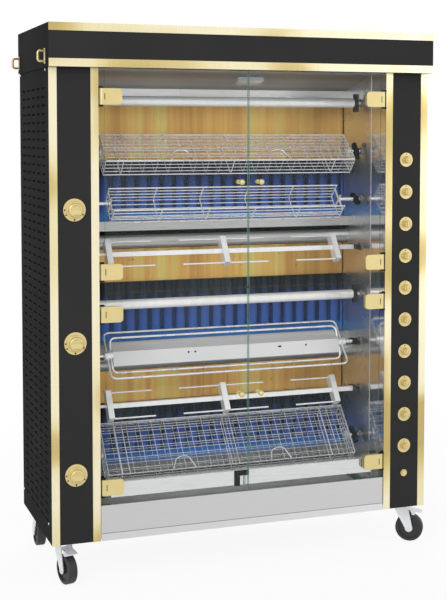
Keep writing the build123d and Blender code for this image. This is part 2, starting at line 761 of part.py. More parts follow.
def make_hinge_bracket(side, z):
    """Wall leaf with two ears and the pin that carries a hinge block."""
    wall = side * INNER_X
    axis = side * HINGE_X
    ear_low = z - HINGE_H / 2 - GAP - EAR_T
    ear_high = z + HINGE_H / 2 + GAP
    with BuildPart() as bracket:
        block((wall - side * WALL_LEAF_T, wall), (FRONT_Y, FRONT_Y + WALL_LEAF_D),
              (ear_low, ear_high + EAR_T))
        for ear in (ear_low, ear_high):
            with BuildSketch(level(ear)):
                with Locations((axis, FRONT_Y)):
                    Circle(EAR_W / 2)
                with Locations(((axis + wall) / 2, FRONT_Y)):
                    Rectangle(abs(wall - axis), EAR_W)
            extrude(amount=EAR_T)
        with BuildSketch(level(ear_low)):
            with Locations((axis, FRONT_Y)):
                Circle(HINGE_PIN / 2)
        extrude(amount=ear_high + EAR_T - ear_low)
    return bracket.part


def make_catch():
    """Black angled catch plate on the front apron, where the lower doors meet."""
    low = BODY_BOTTOM + CATCH_RISE
    left = CATCH_X - CATCH_W / 2
    right = CATCH_X + CATCH_W / 2
    y = (FRONT_Y + APRON_DEPTH - CATCH_T, FRONT_Y + APRON_DEPTH)
    with BuildPart() as catch:
        block((left, right), y, (low + CATCH_H - CATCH_ARM, low + CATCH_H))
        block((left, left + CATCH_ARM), y, (low, low + CATCH_H))
    return catch.part


# Controls


def make_bezel(x, z, diameter, thickness, bore):
    """Brass disc behind a knob."""
    with BuildPart() as bezel:
        front_disc(x, z, FRONT_Y - thickness, thickness, diameter)
        front_disc(x, z, FRONT_Y - thickness, thickness, bore, mode=Mode.SUBTRACT)
    return bezel.part


def make_gas_knob(z):
    """Gas tap knob: round skirt, grip and the spindle that enters the valve."""
    x = -KNOB_X
    seat = FRONT_Y - GAS_BEZEL_T - KNOB_SEAT
    grip = seat - GAS_SKIRT_T
    with BuildPart() as knob:
        front_disc(x, z, grip, GAS_SKIRT_T, GAS_KNOB_D)
        front_disc(x, z, grip - GAS_GRIP_T, GAS_GRIP_T, GAS_GRIP_D)
        rim = knob.edges().filter_by(GeomType.CIRCLE).group_by(Axis.Y)[0]
        fillet(rim, radius=GAS_GRIP_ROUND)
        front_disc(x, z, seat, FRONT_Y + SHEET + SPINDLE_DEPTH - seat, GAS_SPINDLE - 2 * FIT)
    return knob.part


def make_switch_knob(z):
    """Rotary switch knob with a raised pointer bar and its spindle."""
    seat = FRONT_Y - SWITCH_BEZEL_T - KNOB_SEAT
    grip = seat - SWITCH_SKIRT_T
    face = grip - SWITCH_GRIP_T
    with BuildPart() as knob:
        front_disc(KNOB_X, z, grip, SWITCH_SKIRT_T, SWITCH_D)
        front_disc(KNOB_X, z, face, SWITCH_GRIP_T, SWITCH_GRIP_D)
        rim = knob.edges().filter_by(GeomType.CIRCLE).group_by(Axis.Y)[0]
        fillet(rim, radius=SWITCH_GRIP_ROUND)
        block((KNOB_X - POINTER_W / 2, KNOB_X + POINTER_W / 2), (face - POINTER_T, face),
              (z - POINTER_L / 2, z + POINTER_L / 2))
        front_disc(KNOB_X, z, seat, FRONT_Y + SHEET + SPINDLE_DEPTH - seat,
                   SWITCH_SPINDLE - 2 * FIT)
    return knob.part


def make_push_button():
    """Round push button with the plunger that works its switch."""
    front = FRONT_Y - BUTTON_PROUD
    with BuildPart() as button:
        front_disc(KNOB_X, BUTTON_Z, front, BUTTON_LENGTH, BUTTON_D)
        front_disc(KNOB_X, BUTTON_Z, front + BUTTON_LENGTH, BUTTON_STEM_L,
                   BUTTON_STEM - 2 * FIT)
    return button.part


def make_rotary_switch(z):
    """Rotary switch body on the back of the column panel."""
    y = FRONT_Y + SHEET
    half = SWITCH_BODY / 2
    with BuildPart() as switch:
        block((KNOB_X - half, KNOB_X + half), (y, y + SWITCH_BODY_T), (z - half, z + half))
        front_disc(KNOB_X, z, y, SPINDLE_DEPTH + GAP, SWITCH_SPINDLE, mode=Mode.SUBTRACT)
    return switch.part


def make_button_switch():
    """Switch body behind the push button, bored for the cap and the plunger."""
    y = FRONT_Y + SHEET
    half = SWITCH_BODY / 2
    cap_end = FRONT_Y - BUTTON_PROUD + BUTTON_LENGTH + BUTTON_TRAVEL + KNOB_SEAT
    stem_end = cap_end + BUTTON_STEM_L + KNOB_SEAT
    with BuildPart() as switch:
        block((KNOB_X - half, KNOB_X + half), (y, stem_end + BUTTON_END),
              (BUTTON_Z - half, BUTTON_Z + half))
        front_disc(KNOB_X, BUTTON_Z, y, cap_end - y, BUTTON_D + 2 * GAP, mode=Mode.SUBTRACT)
        front_disc(KNOB_X, BUTTON_Z, y, stem_end - y, BUTTON_STEM, mode=Mode.SUBTRACT)
    return switch.part


def make_power_gland():
    """Cable gland in the back panel, without its cable."""
    z = BODY_BOTTOM + GLAND_RISE
    with BuildPart() as gland:
        front_disc(KNOB_X, z, BACK_Y, GLAND_L, GLAND_D)
        front_disc(KNOB_X, z, BACK_Y - SHEET, SHEET, GLAND_THREAD)
        nut = BACK_Y - SHEET - GLAND_NUT_T
        front_disc(KNOB_X, z, nut, GLAND_NUT_T, GLAND_D)
        front_disc(KNOB_X, z, nut, BACK_Y + GLAND_L - nut, GLAND_BORE, mode=Mode.SUBTRACT)
    return gland.part


# Roasting space


def make_inner_wall(side):
    """Polished side wall, holed for the spit drives on the right and the gas feeds on the left."""
    with BuildPart() as wall:
        block((side * INNER_X, side * (INNER_X + SHEET)), (FRONT_Y + SHEET, BACK_WALL_Y + SHEET),
              (RAIL_TOP, HEADER_Z))
        if side > 0:
            for z in SPIT_Z:
                cross_disc(SPIT_Y, z, INNER_X, INNER_X + SHEET, BUSH_D + 2 * FIT,
                           mode=Mode.SUBTRACT)
        else:
            for z in MODULE_Z:
                cross_disc(burner_tube_y(), burner_tube_z(z), -INNER_X - SHEET, -INNER_X,
                           FEED_D + 2 * SPINDLE_CLEAR, mode=Mode.SUBTRACT)
    return wall.part


def make_back_wall():
    """Rear wall of the roasting space."""
    with BuildPart() as wall:
        block((-INNER_X, INNER_X), (BACK_WALL_Y, BACK_WALL_Y + SHEET), (RAIL_TOP, HEADER_Z))
    return wall.part


def make_ceiling():
    """Level front part of the ceiling."""
    with BuildPart() as ceiling:
        block((-INNER_X, INNER_X), (FRONT_Y + APRON_DEPTH, FRONT_Y + CEILING_DEPTH),
              (HEADER_Z - SHEET, HEADER_Z))
    return ceiling.part


def baffle_plane():
    """Plane on the underside of the sloping baffle, at the lamp."""
    run = BACK_WALL_DEPTH - CEILING_DEPTH
    slope = math.atan2(BAFFLE_DROP - SHEET, run)
    y = FRONT_Y + CEILING_DEPTH + run * LAMP_ALONG
    z = HEADER_Z - SHEET - (BAFFLE_DROP - SHEET) * LAMP_ALONG
    normal = (0, -math.sin(slope), -math.cos(slope))
    return Plane(origin=(LAMP_X, y, z), x_dir=(1, 0, 0), z_dir=normal)


def make_baffle():
    """Sloping rear part of the ceiling, down to the strip over the top reflector."""
    front = (FRONT_Y + CEILING_DEPTH, HEADER_Z - SHEET)
    back = (BACK_WALL_Y, HEADER_Z - BAFFLE_DROP)
    with BuildPart() as baffle:
        with BuildSketch(side_plane(-INNER_X)):
            with BuildLine():
                Polyline(front, back, (back[0], back[1] + SHEET), (front[0], front[1] + SHEET),
                         close=True)
            make_face()
        extrude(amount=2 * INNER_X)
    return baffle.part


def make_strip():
    """Bright strip between the baffle and the top reflector."""
    high = HEADER_Z - BAFFLE_DROP
    with BuildPart() as strip:
        block((-INNER_X, INNER_X), (BACK_WALL_Y - SHEET, BACK_WALL_Y), (high - STRIP_H, high))
    return strip.part


def make_apron():
    """Front sheet behind the lower edge of the lower doors."""
    low = BODY_BOTTOM + APRON_RISE
    y = FRONT_Y + APRON_DEPTH
    with BuildPart() as apron:
        block((-INNER_X, INNER_X), (y, y + SHEET), (low, low + APRON_H))
    return apron.part


def make_lamp():
    """Oven lamp: a shallow housing on the baffle and its glass."""
    plane = baffle_plane()
    with BuildPart() as housing:
        with BuildSketch(plane):
            RectangleRounded(LAMP_W, LAMP_D, LAMP_T / 2)
        extrude(amount=LAMP_T)
    with BuildPart() as lens:
        with BuildSketch(plane.offset(LAMP_T)):
            RectangleRounded(LAMP_W - LAMP_T, LAMP_D - LAMP_T, LAMP_T / 2)
        extrude(amount=LENS_T)
    return housing.part, lens.part


def burner_tube_y():
    """Depth of the burner tubes, in the middle of their ledges."""
    return BACK_WALL_Y - LEDGE_D / 2


def burner_tube_z(zk):
    """Height of a burner tube, seated under the top of its ledge."""
    return zk - FLUTED_BELOW - SHEET - GAP - BURNER_TUBE / 2


def module_bottom(zk):
    """Lower edge of a burner module's drip guard."""
    return zk - FLUTED_BELOW - LEDGE_H - BURNER_SLOT - GUARD_H


def make_reflectors():
    """Heat-tinted plates above each burner module."""
    tops = [HEADER_Z - BAFFLE_DROP - STRIP_H] + [module_bottom(zk) for zk in MODULE_Z[:-1]]
    half = INNER_X - REFLECTOR_INSET
    plates = []
    for top, zk in zip(tops, MODULE_Z):
        with BuildPart() as plate:
            block((-half, half), (BACK_WALL_Y - SHEET, BACK_WALL_Y),
                  (zk - FLUTED_BELOW + FLUTED_H, top))
        plates.append(plate.part)
    return plates


def make_fluted_plate(zk):
    """Black cast plate with upright flutes over a plain foot, heated by the burner below it."""
    half = INNER_X - REFLECTOR_INSET
    low = zk - FLUTED_BELOW
    face = BACK_WALL_Y - FLUTED_T
    flute_r = (FLUTE_W ** 2 / 4 + FLUTE_D ** 2) / (2 * FLUTE_D)
    with BuildPart() as plate:
        block((-half, half), (face, BACK_WALL_Y), (low, low + FLUTED_H))
        with BuildSketch(level(low + FLUTE_FOOT)):
            with Locations((FLUTES_RIGHT, face - FLUTE_D + flute_r)):
                with GridLocations(FLUTE_PITCH, 1, FLUTES, 1):
                    Circle(flute_r)
            with Locations((0, BACK_WALL_Y + flute_r)):
                Rectangle(2 * half, 2 * flute_r, mode=Mode.SUBTRACT)
        extrude(amount=FLUTED_H - FLUTE_FOOT)
    return plate.part


def make_ledge(zk):
    """Stainless ledge over a burner tube, with a front lip."""
    top = zk - FLUTED_BELOW
    with BuildPart() as ledge:
        block((-INNER_X, INNER_X), (LEDGE_Y, BACK_WALL_Y), (top - SHEET, top))
        block((-INNER_X, INNER_X), (LEDGE_Y, LEDGE_Y + SHEET), (top - LEDGE_H, top))
    return ledge.part


def make_guard(zk):
    """Half-round drip guard under a burner."""
    radius = GUARD_H / 2
    centre_y = LEDGE_Y + radius
    centre_z = module_bottom(zk) + radius
    rear = BACK_WALL_Y - centre_y
    with BuildPart() as guard:
        with BuildSketch(side_plane(-INNER_X)):
            with Locations((centre_y, centre_z)):
                Circle(radius)
            with Locations((centre_y + rear / 2, centre_z)):
                Rectangle(rear, GUARD_H)
            with Locations((centre_y, centre_z)):
                Circle(radius - SHEET, mode=Mode.SUBTRACT)
            with Locations((centre_y + rear / 2, centre_z)):
                Rectangle(rear, GUARD_H - 2 * SHEET, mode=Mode.SUBTRACT)
        extrude(amount=2 * INNER_X)
    return guard.part


def make_burner_tube(zk):
    """Burner tube under the whole run of flutes."""
    with BuildPart() as tube:
        cross_disc(burner_tube_y(), burner_tube_z(zk), -FLUTED_HALF, FLUTED_HALF, BURNER_TUBE)
    return tube.part


# Gas train in the left column


def pipe(points, diameter):
    """Pipe in the open part along square runs, with a block elbow at each corner."""
    for start, end in zip(points, points[1:]):
        run = Vector(*end) - Vector(*start)
        with BuildSketch(Plane(origin=start, z_dir=run)) as profile:
            Circle(diameter / 2)
        extrude(profile.sketch, amount=run.length)
    for corner in points[1:-1]:
        with Locations(corner):
            Box(*[diameter * ELBOW] * 3)


def make_manifold():
    """Gas manifold: threaded inlet at the rear, riser, and a branch to each valve."""
    y = FRONT_Y + MANIFOLD_DEPTH
    low = BODY_BOTTOM + INLET_RISE
    end = BACK_Y + INLET_STUB
    valve_back = FRONT_Y + SHEET + VALVE_D
    with BuildPart() as manifold:
        pipe([(-KNOB_X, end - INLET_THREAD_L, low), (-KNOB_X, y, low),
              (-KNOB_X, y, MODULE_Z[0])], INLET_PIPE_D)
        with BuildSketch(level(low)):
            with Locations((-KNOB_X, y)):
                Circle(MANIFOLD_D / 2)
        extrude(amount=MODULE_Z[0] + MANIFOLD_D - low)
        front_disc(-KNOB_X, low, end - INLET_THREAD_L, INLET_THREAD_L, INLET_THREAD_D)
        for zk in MODULE_Z:
            front_disc(-KNOB_X, zk, valve_back, y - valve_back, FEED_D)
    return manifold.part


def make_valve(zk):
    """Gas valve behind its knob, bored for the spindle."""
    y = FRONT_Y + SHEET
    with BuildPart() as valve:
        block((-KNOB_X - VALVE_W / 2, -KNOB_X + VALVE_W / 2), (y, y + VALVE_D),
              (zk - VALVE_H / 2, zk + VALVE_H / 2))
        front_disc(-KNOB_X, zk, y, SPINDLE_DEPTH + GAP, GAS_SPINDLE, mode=Mode.SUBTRACT)
    return valve.part


def make_feed(zk):
    """Feed pipe from a valve down, back and through the wall into its burner tube."""
    x = -KNOB_X + VALVE_W / 2 - FEED_D / 2
    front = FRONT_Y + SHEET + VALVE_D / 2
    z = burner_tube_z(zk)
    y = burner_tube_y()
    with BuildPart() as feed:
        pipe([(x, front, zk - VALVE_H / 2), (x, front, z), (x, y, z), (-FLUTED_HALF, y, z)],
             FEED_D)
    return feed.part


# Spit drives and bearings


def make_bearing(z):
    """Open bearing on the left wall, slotted from above."""
    slot = JOURNAL_D + 2 * GAP
    wall = -INNER_X
    top = z + BEARING_RISE
    with BuildPart() as bearing:
        block((wall, wall + BEARING_T), (SPIT_Y - BEARING_W / 2, SPIT_Y + BEARING_W / 2),
              (top - BEARING_H, top))
        cross_disc(SPIT_Y, z, wall, wall + BEARING_T, slot, mode=Mode.SUBTRACT)
        block((wall, wall + BEARING_T), (SPIT_Y - slot / 2, SPIT_Y + slot / 2), (z, top),
              mode=Mode.SUBTRACT)
    return bearing.part


def make_bush(z):
    """Flanged bush in the right wall."""
    bore = DRIVE_D + 2 * FIT
    with BuildPart() as bush:
        cross_disc(SPIT_Y, z, INNER_X - BUSH_FLANGE_T, INNER_X, BUSH_FLANGE_D)
        cross_disc(SPIT_Y, z, INNER_X, INNER_X + SHEET, BUSH_D)
        cross_disc(SPIT_Y, z, INNER_X - BUSH_FLANGE_T, INNER_X + SHEET, bore,
                   mode=Mode.SUBTRACT)
    return bush.part


def make_gearmotor(z):
    """Gearbox on the wall with its motor behind it, bored for the drive shaft."""
    x = INNER_X + SHEET
    half = GEARBOX / 2
    with BuildPart() as motor:
        block((x, x + GEARBOX_T), (SPIT_Y - half, SPIT_Y + half), (z - half, z + half))
        cross_disc(SPIT_Y, z, x + GEARBOX_T, x + GEARBOX_T + MOTOR_L, MOTOR_D)
        cross_disc(SPIT_Y, z, x, x + DRIVE_DEPTH + GAP, DRIVE_D + 2 * FIT, mode=Mode.SUBTRACT)
    return motor.part


# Spits


def spit_rod(z, x_low, x_high, diameter):
    """Round stretch of a spit in the open part."""
    cross_disc(SPIT_Y, z, x_low, x_high, diameter)


def make_left_end(z, end):
    """Plain end of a spit: the journal that lies in the open bearing, and a hub disc."""
    with BuildPart() as stub:
        spit_rod(z, -JOURNAL_X, -end, JOURNAL_D)
        spit_rod(z, -end - HUB_T, -end, HUB_D)
    return stub.part


def driven_end(z, start, turn):
    """Driven end of a spit in the open part: neck, cross bar and drive shaft."""
    spit_rod(z, start, GRIP_X, NECK_D)
    with BuildSketch(spit_plane(z, GRIP_X, turn)) as profile:
        Rectangle(GRIP_L, GRIP_T)
    extrude(profile.sketch, amount=GRIP_T)
    spit_rod(z, GRIP_X + GRIP_T, INNER_X + SHEET + DRIVE_DEPTH, DRIVE_D)


def make_right_end(z, end, turn):
    """Driven end of a spit with the hub disc that carries a load."""
    with BuildPart() as stub:
        spit_rod(z, end, end + HUB_T, HUB_D)
        driven_end(z, end, turn)
    return stub.part


def make_tube_spit(z, turn):
    """Polished tube between two end discs."""
    barrel = TUBE_HALF - TUBE_CAP_T
    with BuildPart() as tube:
        cross_disc(SPIT_Y, z, -barrel, barrel, TUBE_D)
        cross_disc(SPIT_Y, z, -barrel, barrel, TUBE_D - 2 * TUBE_WALL, mode=Mode.SUBTRACT)
    with BuildPart() as left:
        spit_rod(z, -TUBE_HALF, -barrel, TUBE_D)
        spit_rod(z, -JOURNAL_X, -TUBE_HALF, JOURNAL_D)
    with BuildPart() as right:
        spit_rod(z, barrel, TUBE_HALF, TUBE_D)
        driven_end(z, TUBE_HALF, turn)
    return tube.part, left.part, right.part


def fork_pair(z, x, turn, reaches):
    """Clamp plate in the open part with two prongs on each side named in reaches."""
    with BuildSketch(spit_plane(z, x - FORK_PLATE_T / 2, turn)) as profile:
        RectangleRounded(FORK_PLATE_W, FORK_PLATE_L, PRONG_D / 2)
    extrude(profile.sketch, amount=FORK_PLATE_T)
    for reach in reaches:
        with BuildSketch(spit_plane(z, x, turn)) as profile:
            with Locations((0, PRONG_OFFSET), (0, -PRONG_OFFSET)):
                Circle(PRONG_D / 2)
        extrude(profile.sketch, amount=reach * (PRONG_L + FORK_PLATE_T / 2))


def make_fork_spit(z, turn, fork_turn):
    """Square bar with three clamped forks, the end ones pointing inwards."""
    left, middle, right = FORK_X
    with BuildPart() as spit:
        with BuildSketch(spit_plane(z, -LOAD_HALF)):
            Rectangle(BAR, BAR)
        extrude(amount=LOAD_HALF + GRIP_X)
        spit_rod(z, -JOURNAL_X, -LOAD_HALF, JOURNAL_D)
        driven_end(z, GRIP_X - GRIP_T, turn)
        fork_pair(z, left, fork_turn, (1,))
        fork_pair(z, middle, fork_turn, (-1, 1))
        fork_pair(z, right, fork_turn, (-1,))
    return spit.part


def basket_point(z, tilt, shift, across, up):
    """Place in Y and Z of a point of a basket, from its tilted width and height."""
    angle = math.radians(tilt)
    y = SPIT_Y + across * math.cos(angle) - up * math.sin(angle)
    return y, z + shift + across * math.sin(angle) + up * math.cos(angle)


def grid_count(length, cell):
    """Number of cells that fit a length between its edge wires."""
    return max(2, round((length - GRID_WIRE) / cell))


def make_grid(plane, length, width, cell_l, cell_w):
    """Flat welded grid: one sheet with a rectangular hole in each cell."""
    count_l = grid_count(length, cell_l)
    count_w = grid_count(width, cell_w)
    pitch_l = (length - GRID_WIRE) / count_l
    pitch_w = (width - GRID_WIRE) / count_w
    with BuildPart() as grid:
        with BuildSketch(plane):
            Rectangle(length, width)
            with GridLocations(pitch_l, pitch_w, count_l, count_w):
                Rectangle(pitch_l - GRID_WIRE, pitch_w - GRID_WIRE, mode=Mode.SUBTRACT)
        extrude(amount=GRID_T)
    return grid.part


def long_plane(z, tilt, shift, across, up, faces_up):
    """Plane along a basket, on its floor (faces_up) or on one of its long sides."""
    angle = math.radians(tilt)
    y, height = basket_point(z, tilt, shift, across, up)
    if faces_up:
        normal = (0, -math.sin(angle), math.cos(angle))
    else:
        normal = (0, math.cos(angle), math.sin(angle))
    return Plane(origin=(0, y, height), x_dir=(1, 0, 0), z_dir=normal)


def lid_hinge(z, width, height, tilt, shift):
    """Axis of a lid's rear wire."""
    return basket_point(z, tilt, shift, (width - GRID_WIRE) / 2, (height - GRID_WIRE) / 2)


def make_hinged_side(side, axis):
    """Rear side of a basket with three eyes around the lid's rear wire."""
    count = grid_count(2 * BASKET_HALF, GRID_LONG)
    pitch = (2 * BASKET_HALF - GRID_WIRE) / count
    bore = GRID_WIRE + 2 * GAP
    with BuildPart() as wall:
        add(side)
        for cell in (LOOP_END_CELL, count // 2, count - 1 - LOOP_END_CELL):
            x = (cell + 0.5 - count / 2) * pitch
            cross_disc(*axis, x - LOOP_L / 2, x + LOOP_L / 2, bore + 2 * LOOP_WIRE)
            cross_disc(*axis, x - LOOP_L / 2, x + LOOP_L / 2, bore, mode=Mode.SUBTRACT)
    return wall.part


def make_basket(z, turn, width, height, tilt, shift):
    """Open mesh basket: floor, long sides, ends and the two hubs."""
    length = 2 * BASKET_HALF
    wall_h = height - 2 * GRID_T - LID_PLAY
    wall_up = -height / 2 + GRID_T + wall_h / 2
    floor = make_grid(long_plane(z, tilt, shift, 0, -height / 2, True), length, width,
                      GRID_LONG, GRID_SHORT)
    front = make_grid(long_plane(z, tilt, shift, -width / 2, wall_up, False), length, wall_h,
                      GRID_LONG, GRID_SHORT)
    back = make_grid(long_plane(z, tilt, shift, width / 2 - GRID_T, wall_up, False), length,
                     wall_h, GRID_LONG, GRID_SHORT)
    hinged = make_hinged_side(back, lid_hinge(z, width, height, tilt, shift))
    y, mid = basket_point(z, tilt, shift, 0, wall_up)
    angle = math.radians(tilt)
    ends = []
    for x in (-BASKET_HALF, BASKET_HALF - GRID_T):
        plane = Plane(origin=(x, y, mid), x_dir=(0, math.cos(angle), math.sin(angle)),
                      z_dir=(1, 0, 0))
        ends.append(make_grid(plane, width - 2 * GRID_T, wall_h, GRID_SHORT, GRID_SHORT))
    left = make_left_end(z, BASKET_HALF)
    right = make_right_end(z, BASKET_HALF, turn)
    return floor, front, hinged, *ends, left, right


def make_lid(z, width, height, tilt, shift):
    """Mesh lid over a basket, with a round rear wire as its hinge pin."""
    plane = long_plane(z, tilt, shift, 0, height / 2 - GRID_T, True)
    count = grid_count(2 * BASKET_HALF, GRID_LONG)
    pitch = (2 * BASKET_HALF - GRID_WIRE) / count
    with BuildPart() as lid:
        add(make_grid(plane, 2 * BASKET_HALF, width, GRID_LONG, GRID_SHORT))
        with BuildSketch(plane) as rear:
            with Locations((0, (width - GRID_WIRE) / 2)):
                with GridLocations(pitch, 1, count, 1):
                    Rectangle(pitch - GRID_WIRE, GRID_WIRE)
            with Locations((0, width / 2)):
                Rectangle(2 * BASKET_HALF, GRID_WIRE)
        extrude(rear.sketch, amount=GRID_T, mode=Mode.SUBTRACT)
        cross_disc(*lid_hinge(z, width, height, tilt, shift), -BASKET_HALF, BASKET_HALF, GRID_WIRE)
    return lid.part


def cradle_plane(z, x):
    """Plane across the cradle: origin at its front rim, first axis to the rear rim."""
    angle = math.radians(CRADLE_TILT)
    along = (math.cos(angle), math.sin(angle))
    deep = (math.sin(angle), -math.cos(angle))
    y = SPIT_Y - CRADLE_AXIS_W * along[0] - CRADLE_AXIS_H * deep[0]
    height = z - CRADLE_AXIS_W * along[1] - CRADLE_AXIS_H * deep[1]
    return Plane(origin=(x, y, height), x_dir=(0, *along), z_dir=(-1, 0, 0))


def cradle_frame(z, x):
    """One cross frame of the cradle in the open part, a square U of flat wire."""
    wire = CRADLE_WIRE
    with BuildSketch(cradle_plane(z, x + wire / 2)) as profile:
        with Locations((CRADLE_W / 2, CRADLE_H / 2)):
            Rectangle(CRADLE_W, CRADLE_H)
            with Locations((0, -wire)):
                Rectangle(CRADLE_W - 2 * wire, CRADLE_H, mode=Mode.SUBTRACT)
    extrude(profile.sketch, amount=wire)


def cradle_wires(z, half):
    """Long wires of the cradle in the open part: along the rims, sides and floor."""
    wire = CRADLE_WIRE
    sides = spaced(wire / 2, CRADLE_H - wire / 2, CRADLE_SIDE_WIRES)
    floor = spaced(wire / 2, CRADLE_W - wire / 2, CRADLE_FLOOR_WIRES + 2)[1:-1]
    places = [(wire / 2, depth) for depth in sides]
    places += [(CRADLE_W - wire / 2, depth) for depth in sides]
    places += [(across, CRADLE_H - wire / 2) for across in floor]
    with BuildSketch(cradle_plane(z, half)) as profile:
        with Locations(*places):
            Circle(CRADLE_ROUND / 2)
    extrude(profile.sketch, amount=2 * half)


def make_cradle(z, turn):
    """Open wire cradle with end bars that carry the journals."""
    half = LOAD_HALF - CRADLE_END_INSET
    wire = CRADLE_WIRE
    with BuildPart() as cradle:
        cradle_wires(z, half)
        for i in range(CRADLE_FRAMES):
            cradle_frame(z, -half + wire / 2 + (2 * half - wire) * i / (CRADLE_FRAMES - 1))
        for x in (-half + wire, half):
            with BuildSketch(cradle_plane(z, x)):
                with Locations((CRADLE_W / 2, CRADLE_AXIS_H)):
                    Rectangle(CRADLE_W, 2 * wire)
                with Locations((CRADLE_AXIS_W, CRADLE_H / 2 + wire)):
                    Rectangle(2 * wire, CRADLE_H - 2 * wire)
            extrude(amount=wire)
        spit_rod(z, -half - HUB_T, -half, CRADLE_HUB_D)
        spit_rod(z, -JOURNAL_X, -half, JOURNAL_D)
        spit_rod(z, half, half + HUB_T, CRADLE_HUB_D)
        driven_end(z, half, turn)
    return cradle.part


def rack_loop(z, half_h, half_l, tilt):
    """Closed rod loop in the open part, around the spit axis in a tilted plane."""
    angle = math.radians(tilt)
    normal = (0, -math.sin(angle), math.cos(angle))
    plane = Plane(origin=(0, SPIT_Y, z), x_dir=(1, 0, 0), z_dir=normal)
    with BuildSketch(plane.offset(-RACK_ROD / 2)) as profile:
        RectangleRounded(2 * half_l, 2 * half_h, RACK_CORNER)
        RectangleRounded(2 * (half_l - RACK_ROD), 2 * (half_h - RACK_ROD), RACK_CORNER - RACK_ROD,
                         mode=Mode.SUBTRACT)
    extrude(profile.sketch, amount=RACK_ROD)


def make_rack(z, turn):
    """Two rod loops on a common axis, with hub clamps at both ends."""
    with BuildPart() as rack:
        rack_loop(z, RACK_OUTER, LOAD_HALF, RACK_OUTER_TILT)
        rack_loop(z, RACK_INNER, LOAD_HALF - RACK_STEP, RACK_INNER_TILT)
        clamp = RACK_STEP + RACK_ROD
        spit_rod(z, -LOAD_HALF - RACK_ROD, -LOAD_HALF + clamp, RACK_CLAMP_D)
        spit_rod(z, LOAD_HALF - clamp, LOAD_HALF + RACK_ROD, RACK_CLAMP_D)
        spit_rod(z, -JOURNAL_X, -LOAD_HALF, JOURNAL_D)
        driven_end(z, LOAD_HALF, turn)
    return rack.part


def make_rack_tray(z):
    """Folded stainless tray lying between the clamps of the rack."""
    half = LOAD_HALF - RACK_STEP - RACK_ROD
    behind = [(y + RACK_SHEET, h + RACK_SHEET / 2) for y, h in reversed(RACK_FOLDS)]
    with BuildPart() as tray:
        with BuildSketch(spit_plane(z, -half)):
            with BuildLine():
                Polyline(*RACK_FOLDS, *behind, close=True)
            make_face()
        extrude(amount=2 * half)
    return tray.part


# Drip tray drawer


def make_drip_tray():
    """Drawer: front panel with a leaning lip as its grip, and the pan behind it."""
    half = INNER_X - TRAY_END_GAP
    low = BODY_BOTTOM + TRAY_RISE
    with BuildPart() as tray:
        block((-half, half), (FRONT_Y, FRONT_Y + SHEET), (low, low + TRAY_FRONT_H))
        with BuildSketch(side_plane(-half)):
            with BuildLine():
                Polyline((FRONT_Y, low), (FRONT_Y + SHEET, low),
                         (FRONT_Y - LIP_OUT + SHEET, low - LIP_H), (FRONT_Y - LIP_OUT, low - LIP_H),
                         close=True)
            make_face()
        extrude(amount=2 * half)
        pan_half = INNER_X - TRAY_PAN_INSET
        floor = BODY_BOTTOM + TRAY_PAN_RISE
        block((-pan_half, pan_half), (FRONT_Y, FRONT_Y + TRAY_PAN_D), (floor, floor + TRAY_PAN_H))
        block((-pan_half + SHEET, pan_half - SHEET), (FRONT_Y + SHEET, FRONT_Y + TRAY_PAN_D - SHEET),
              (floor + SHEET, floor + TRAY_PAN_H), mode=Mode.SUBTRACT)
    return tray.part


# Writing the cabinet and everything fixed to it

SIDES = (-1, 1)
save("side_panels", *[make_side_panel(side) for side in SIDES])
save("column_panels", *[make_column_panel(side) for side in SIDES])
save("header_canopy", make_header_shell(), make_header_top())
hook_depths = (FRONT_Y + HOOK_FRONT, BACK_Y - HOOK_BACK)
save("brass_trims", *make_trims(), *[make_hook(side, y) for side in SIDES for y in hook_depths])
save("back_panel", make_back_panel())
save("base_chassis", make_base_frame(), *make_posts(),
     *[make_caster_plate(corner) for corner in CASTER_HEADINGS])
save("cavity_liner", *[make_inner_wall(side) for side in SIDES], make_back_wall(),
     make_ceiling(), make_baffle(), make_strip(), make_apron())
save("lamp", *make_lamp())
save("reflector_plates", *make_reflectors())
save("burner_plates", *[make_fluted_plate(zk) for zk in MODULE_Z])
save("burners", *[make_ledge(zk) for zk in MODULE_Z], *[make_guard(zk) for zk in MODULE_Z],
     *[make_burner_tube(zk) for zk in MODULE_Z])
save("gas_train", make_manifold(), *[make_valve(zk) for zk in MODULE_Z],
     *[make_feed(zk) for zk in MODULE_Z])
save("spit_bearings", *[make_bearing(z) for z in SPIT_Z], *[make_bush(z) for z in SPIT_Z])
save("spit_gearmotors", *[make_gearmotor(z) for z in SPIT_Z])
save("switches_and_gland", *[make_rotary_switch(z) for z in SWITCH_Z], make_button_switch(),
     make_power_gland())
hinge_heights = (*LOWER_HINGES, *UPPER_HINGES)
save("door_brackets", *[make_hinge_bracket(side, z) for side in SIDES for z in hinge_heights],
     make_catch())
gas_bore = GAS_SPINDLE + 2 * SPINDLE_CLEAR
switch_bore = SWITCH_SPINDLE + 2 * SPINDLE_CLEAR
save("control_bezels",
     *[make_bezel(-KNOB_X, z, GAS_BEZEL_D, GAS_BEZEL_T, gas_bore) for z in MODULE_Z],
     *[make_bezel(KNOB_X, z, SWITCH_BEZEL_D, SWITCH_BEZEL_T, switch_bore) for z in SWITCH_Z],
     make_bezel(KNOB_X, BUTTON_Z, BUTTON_RING_D, BUTTON_RING_T, BUTTON_D + 2 * GAP))

# Writing the pieces that move

for side, side_name in ((-1, "left"), (1, "right")):
    for level_name, glass, hinges, rise in (
            ("lower", LOWER_GLASS, LOWER_HINGES, BALL_LOWER_RISE),
            ("upper", UPPER_GLASS, UPPER_HINGES, BALL_UPPER_RISE)):
        knob_z = glass[0] + rise
        save(f"door_glass_{level_name}_{side_name}", make_door_glass(side, glass, knob_z))
        save(f"door_fittings_{level_name}_{side_name}",
             *[make_hinge_block(side, z) for z in hinges], make_door_knob(side, knob_z))

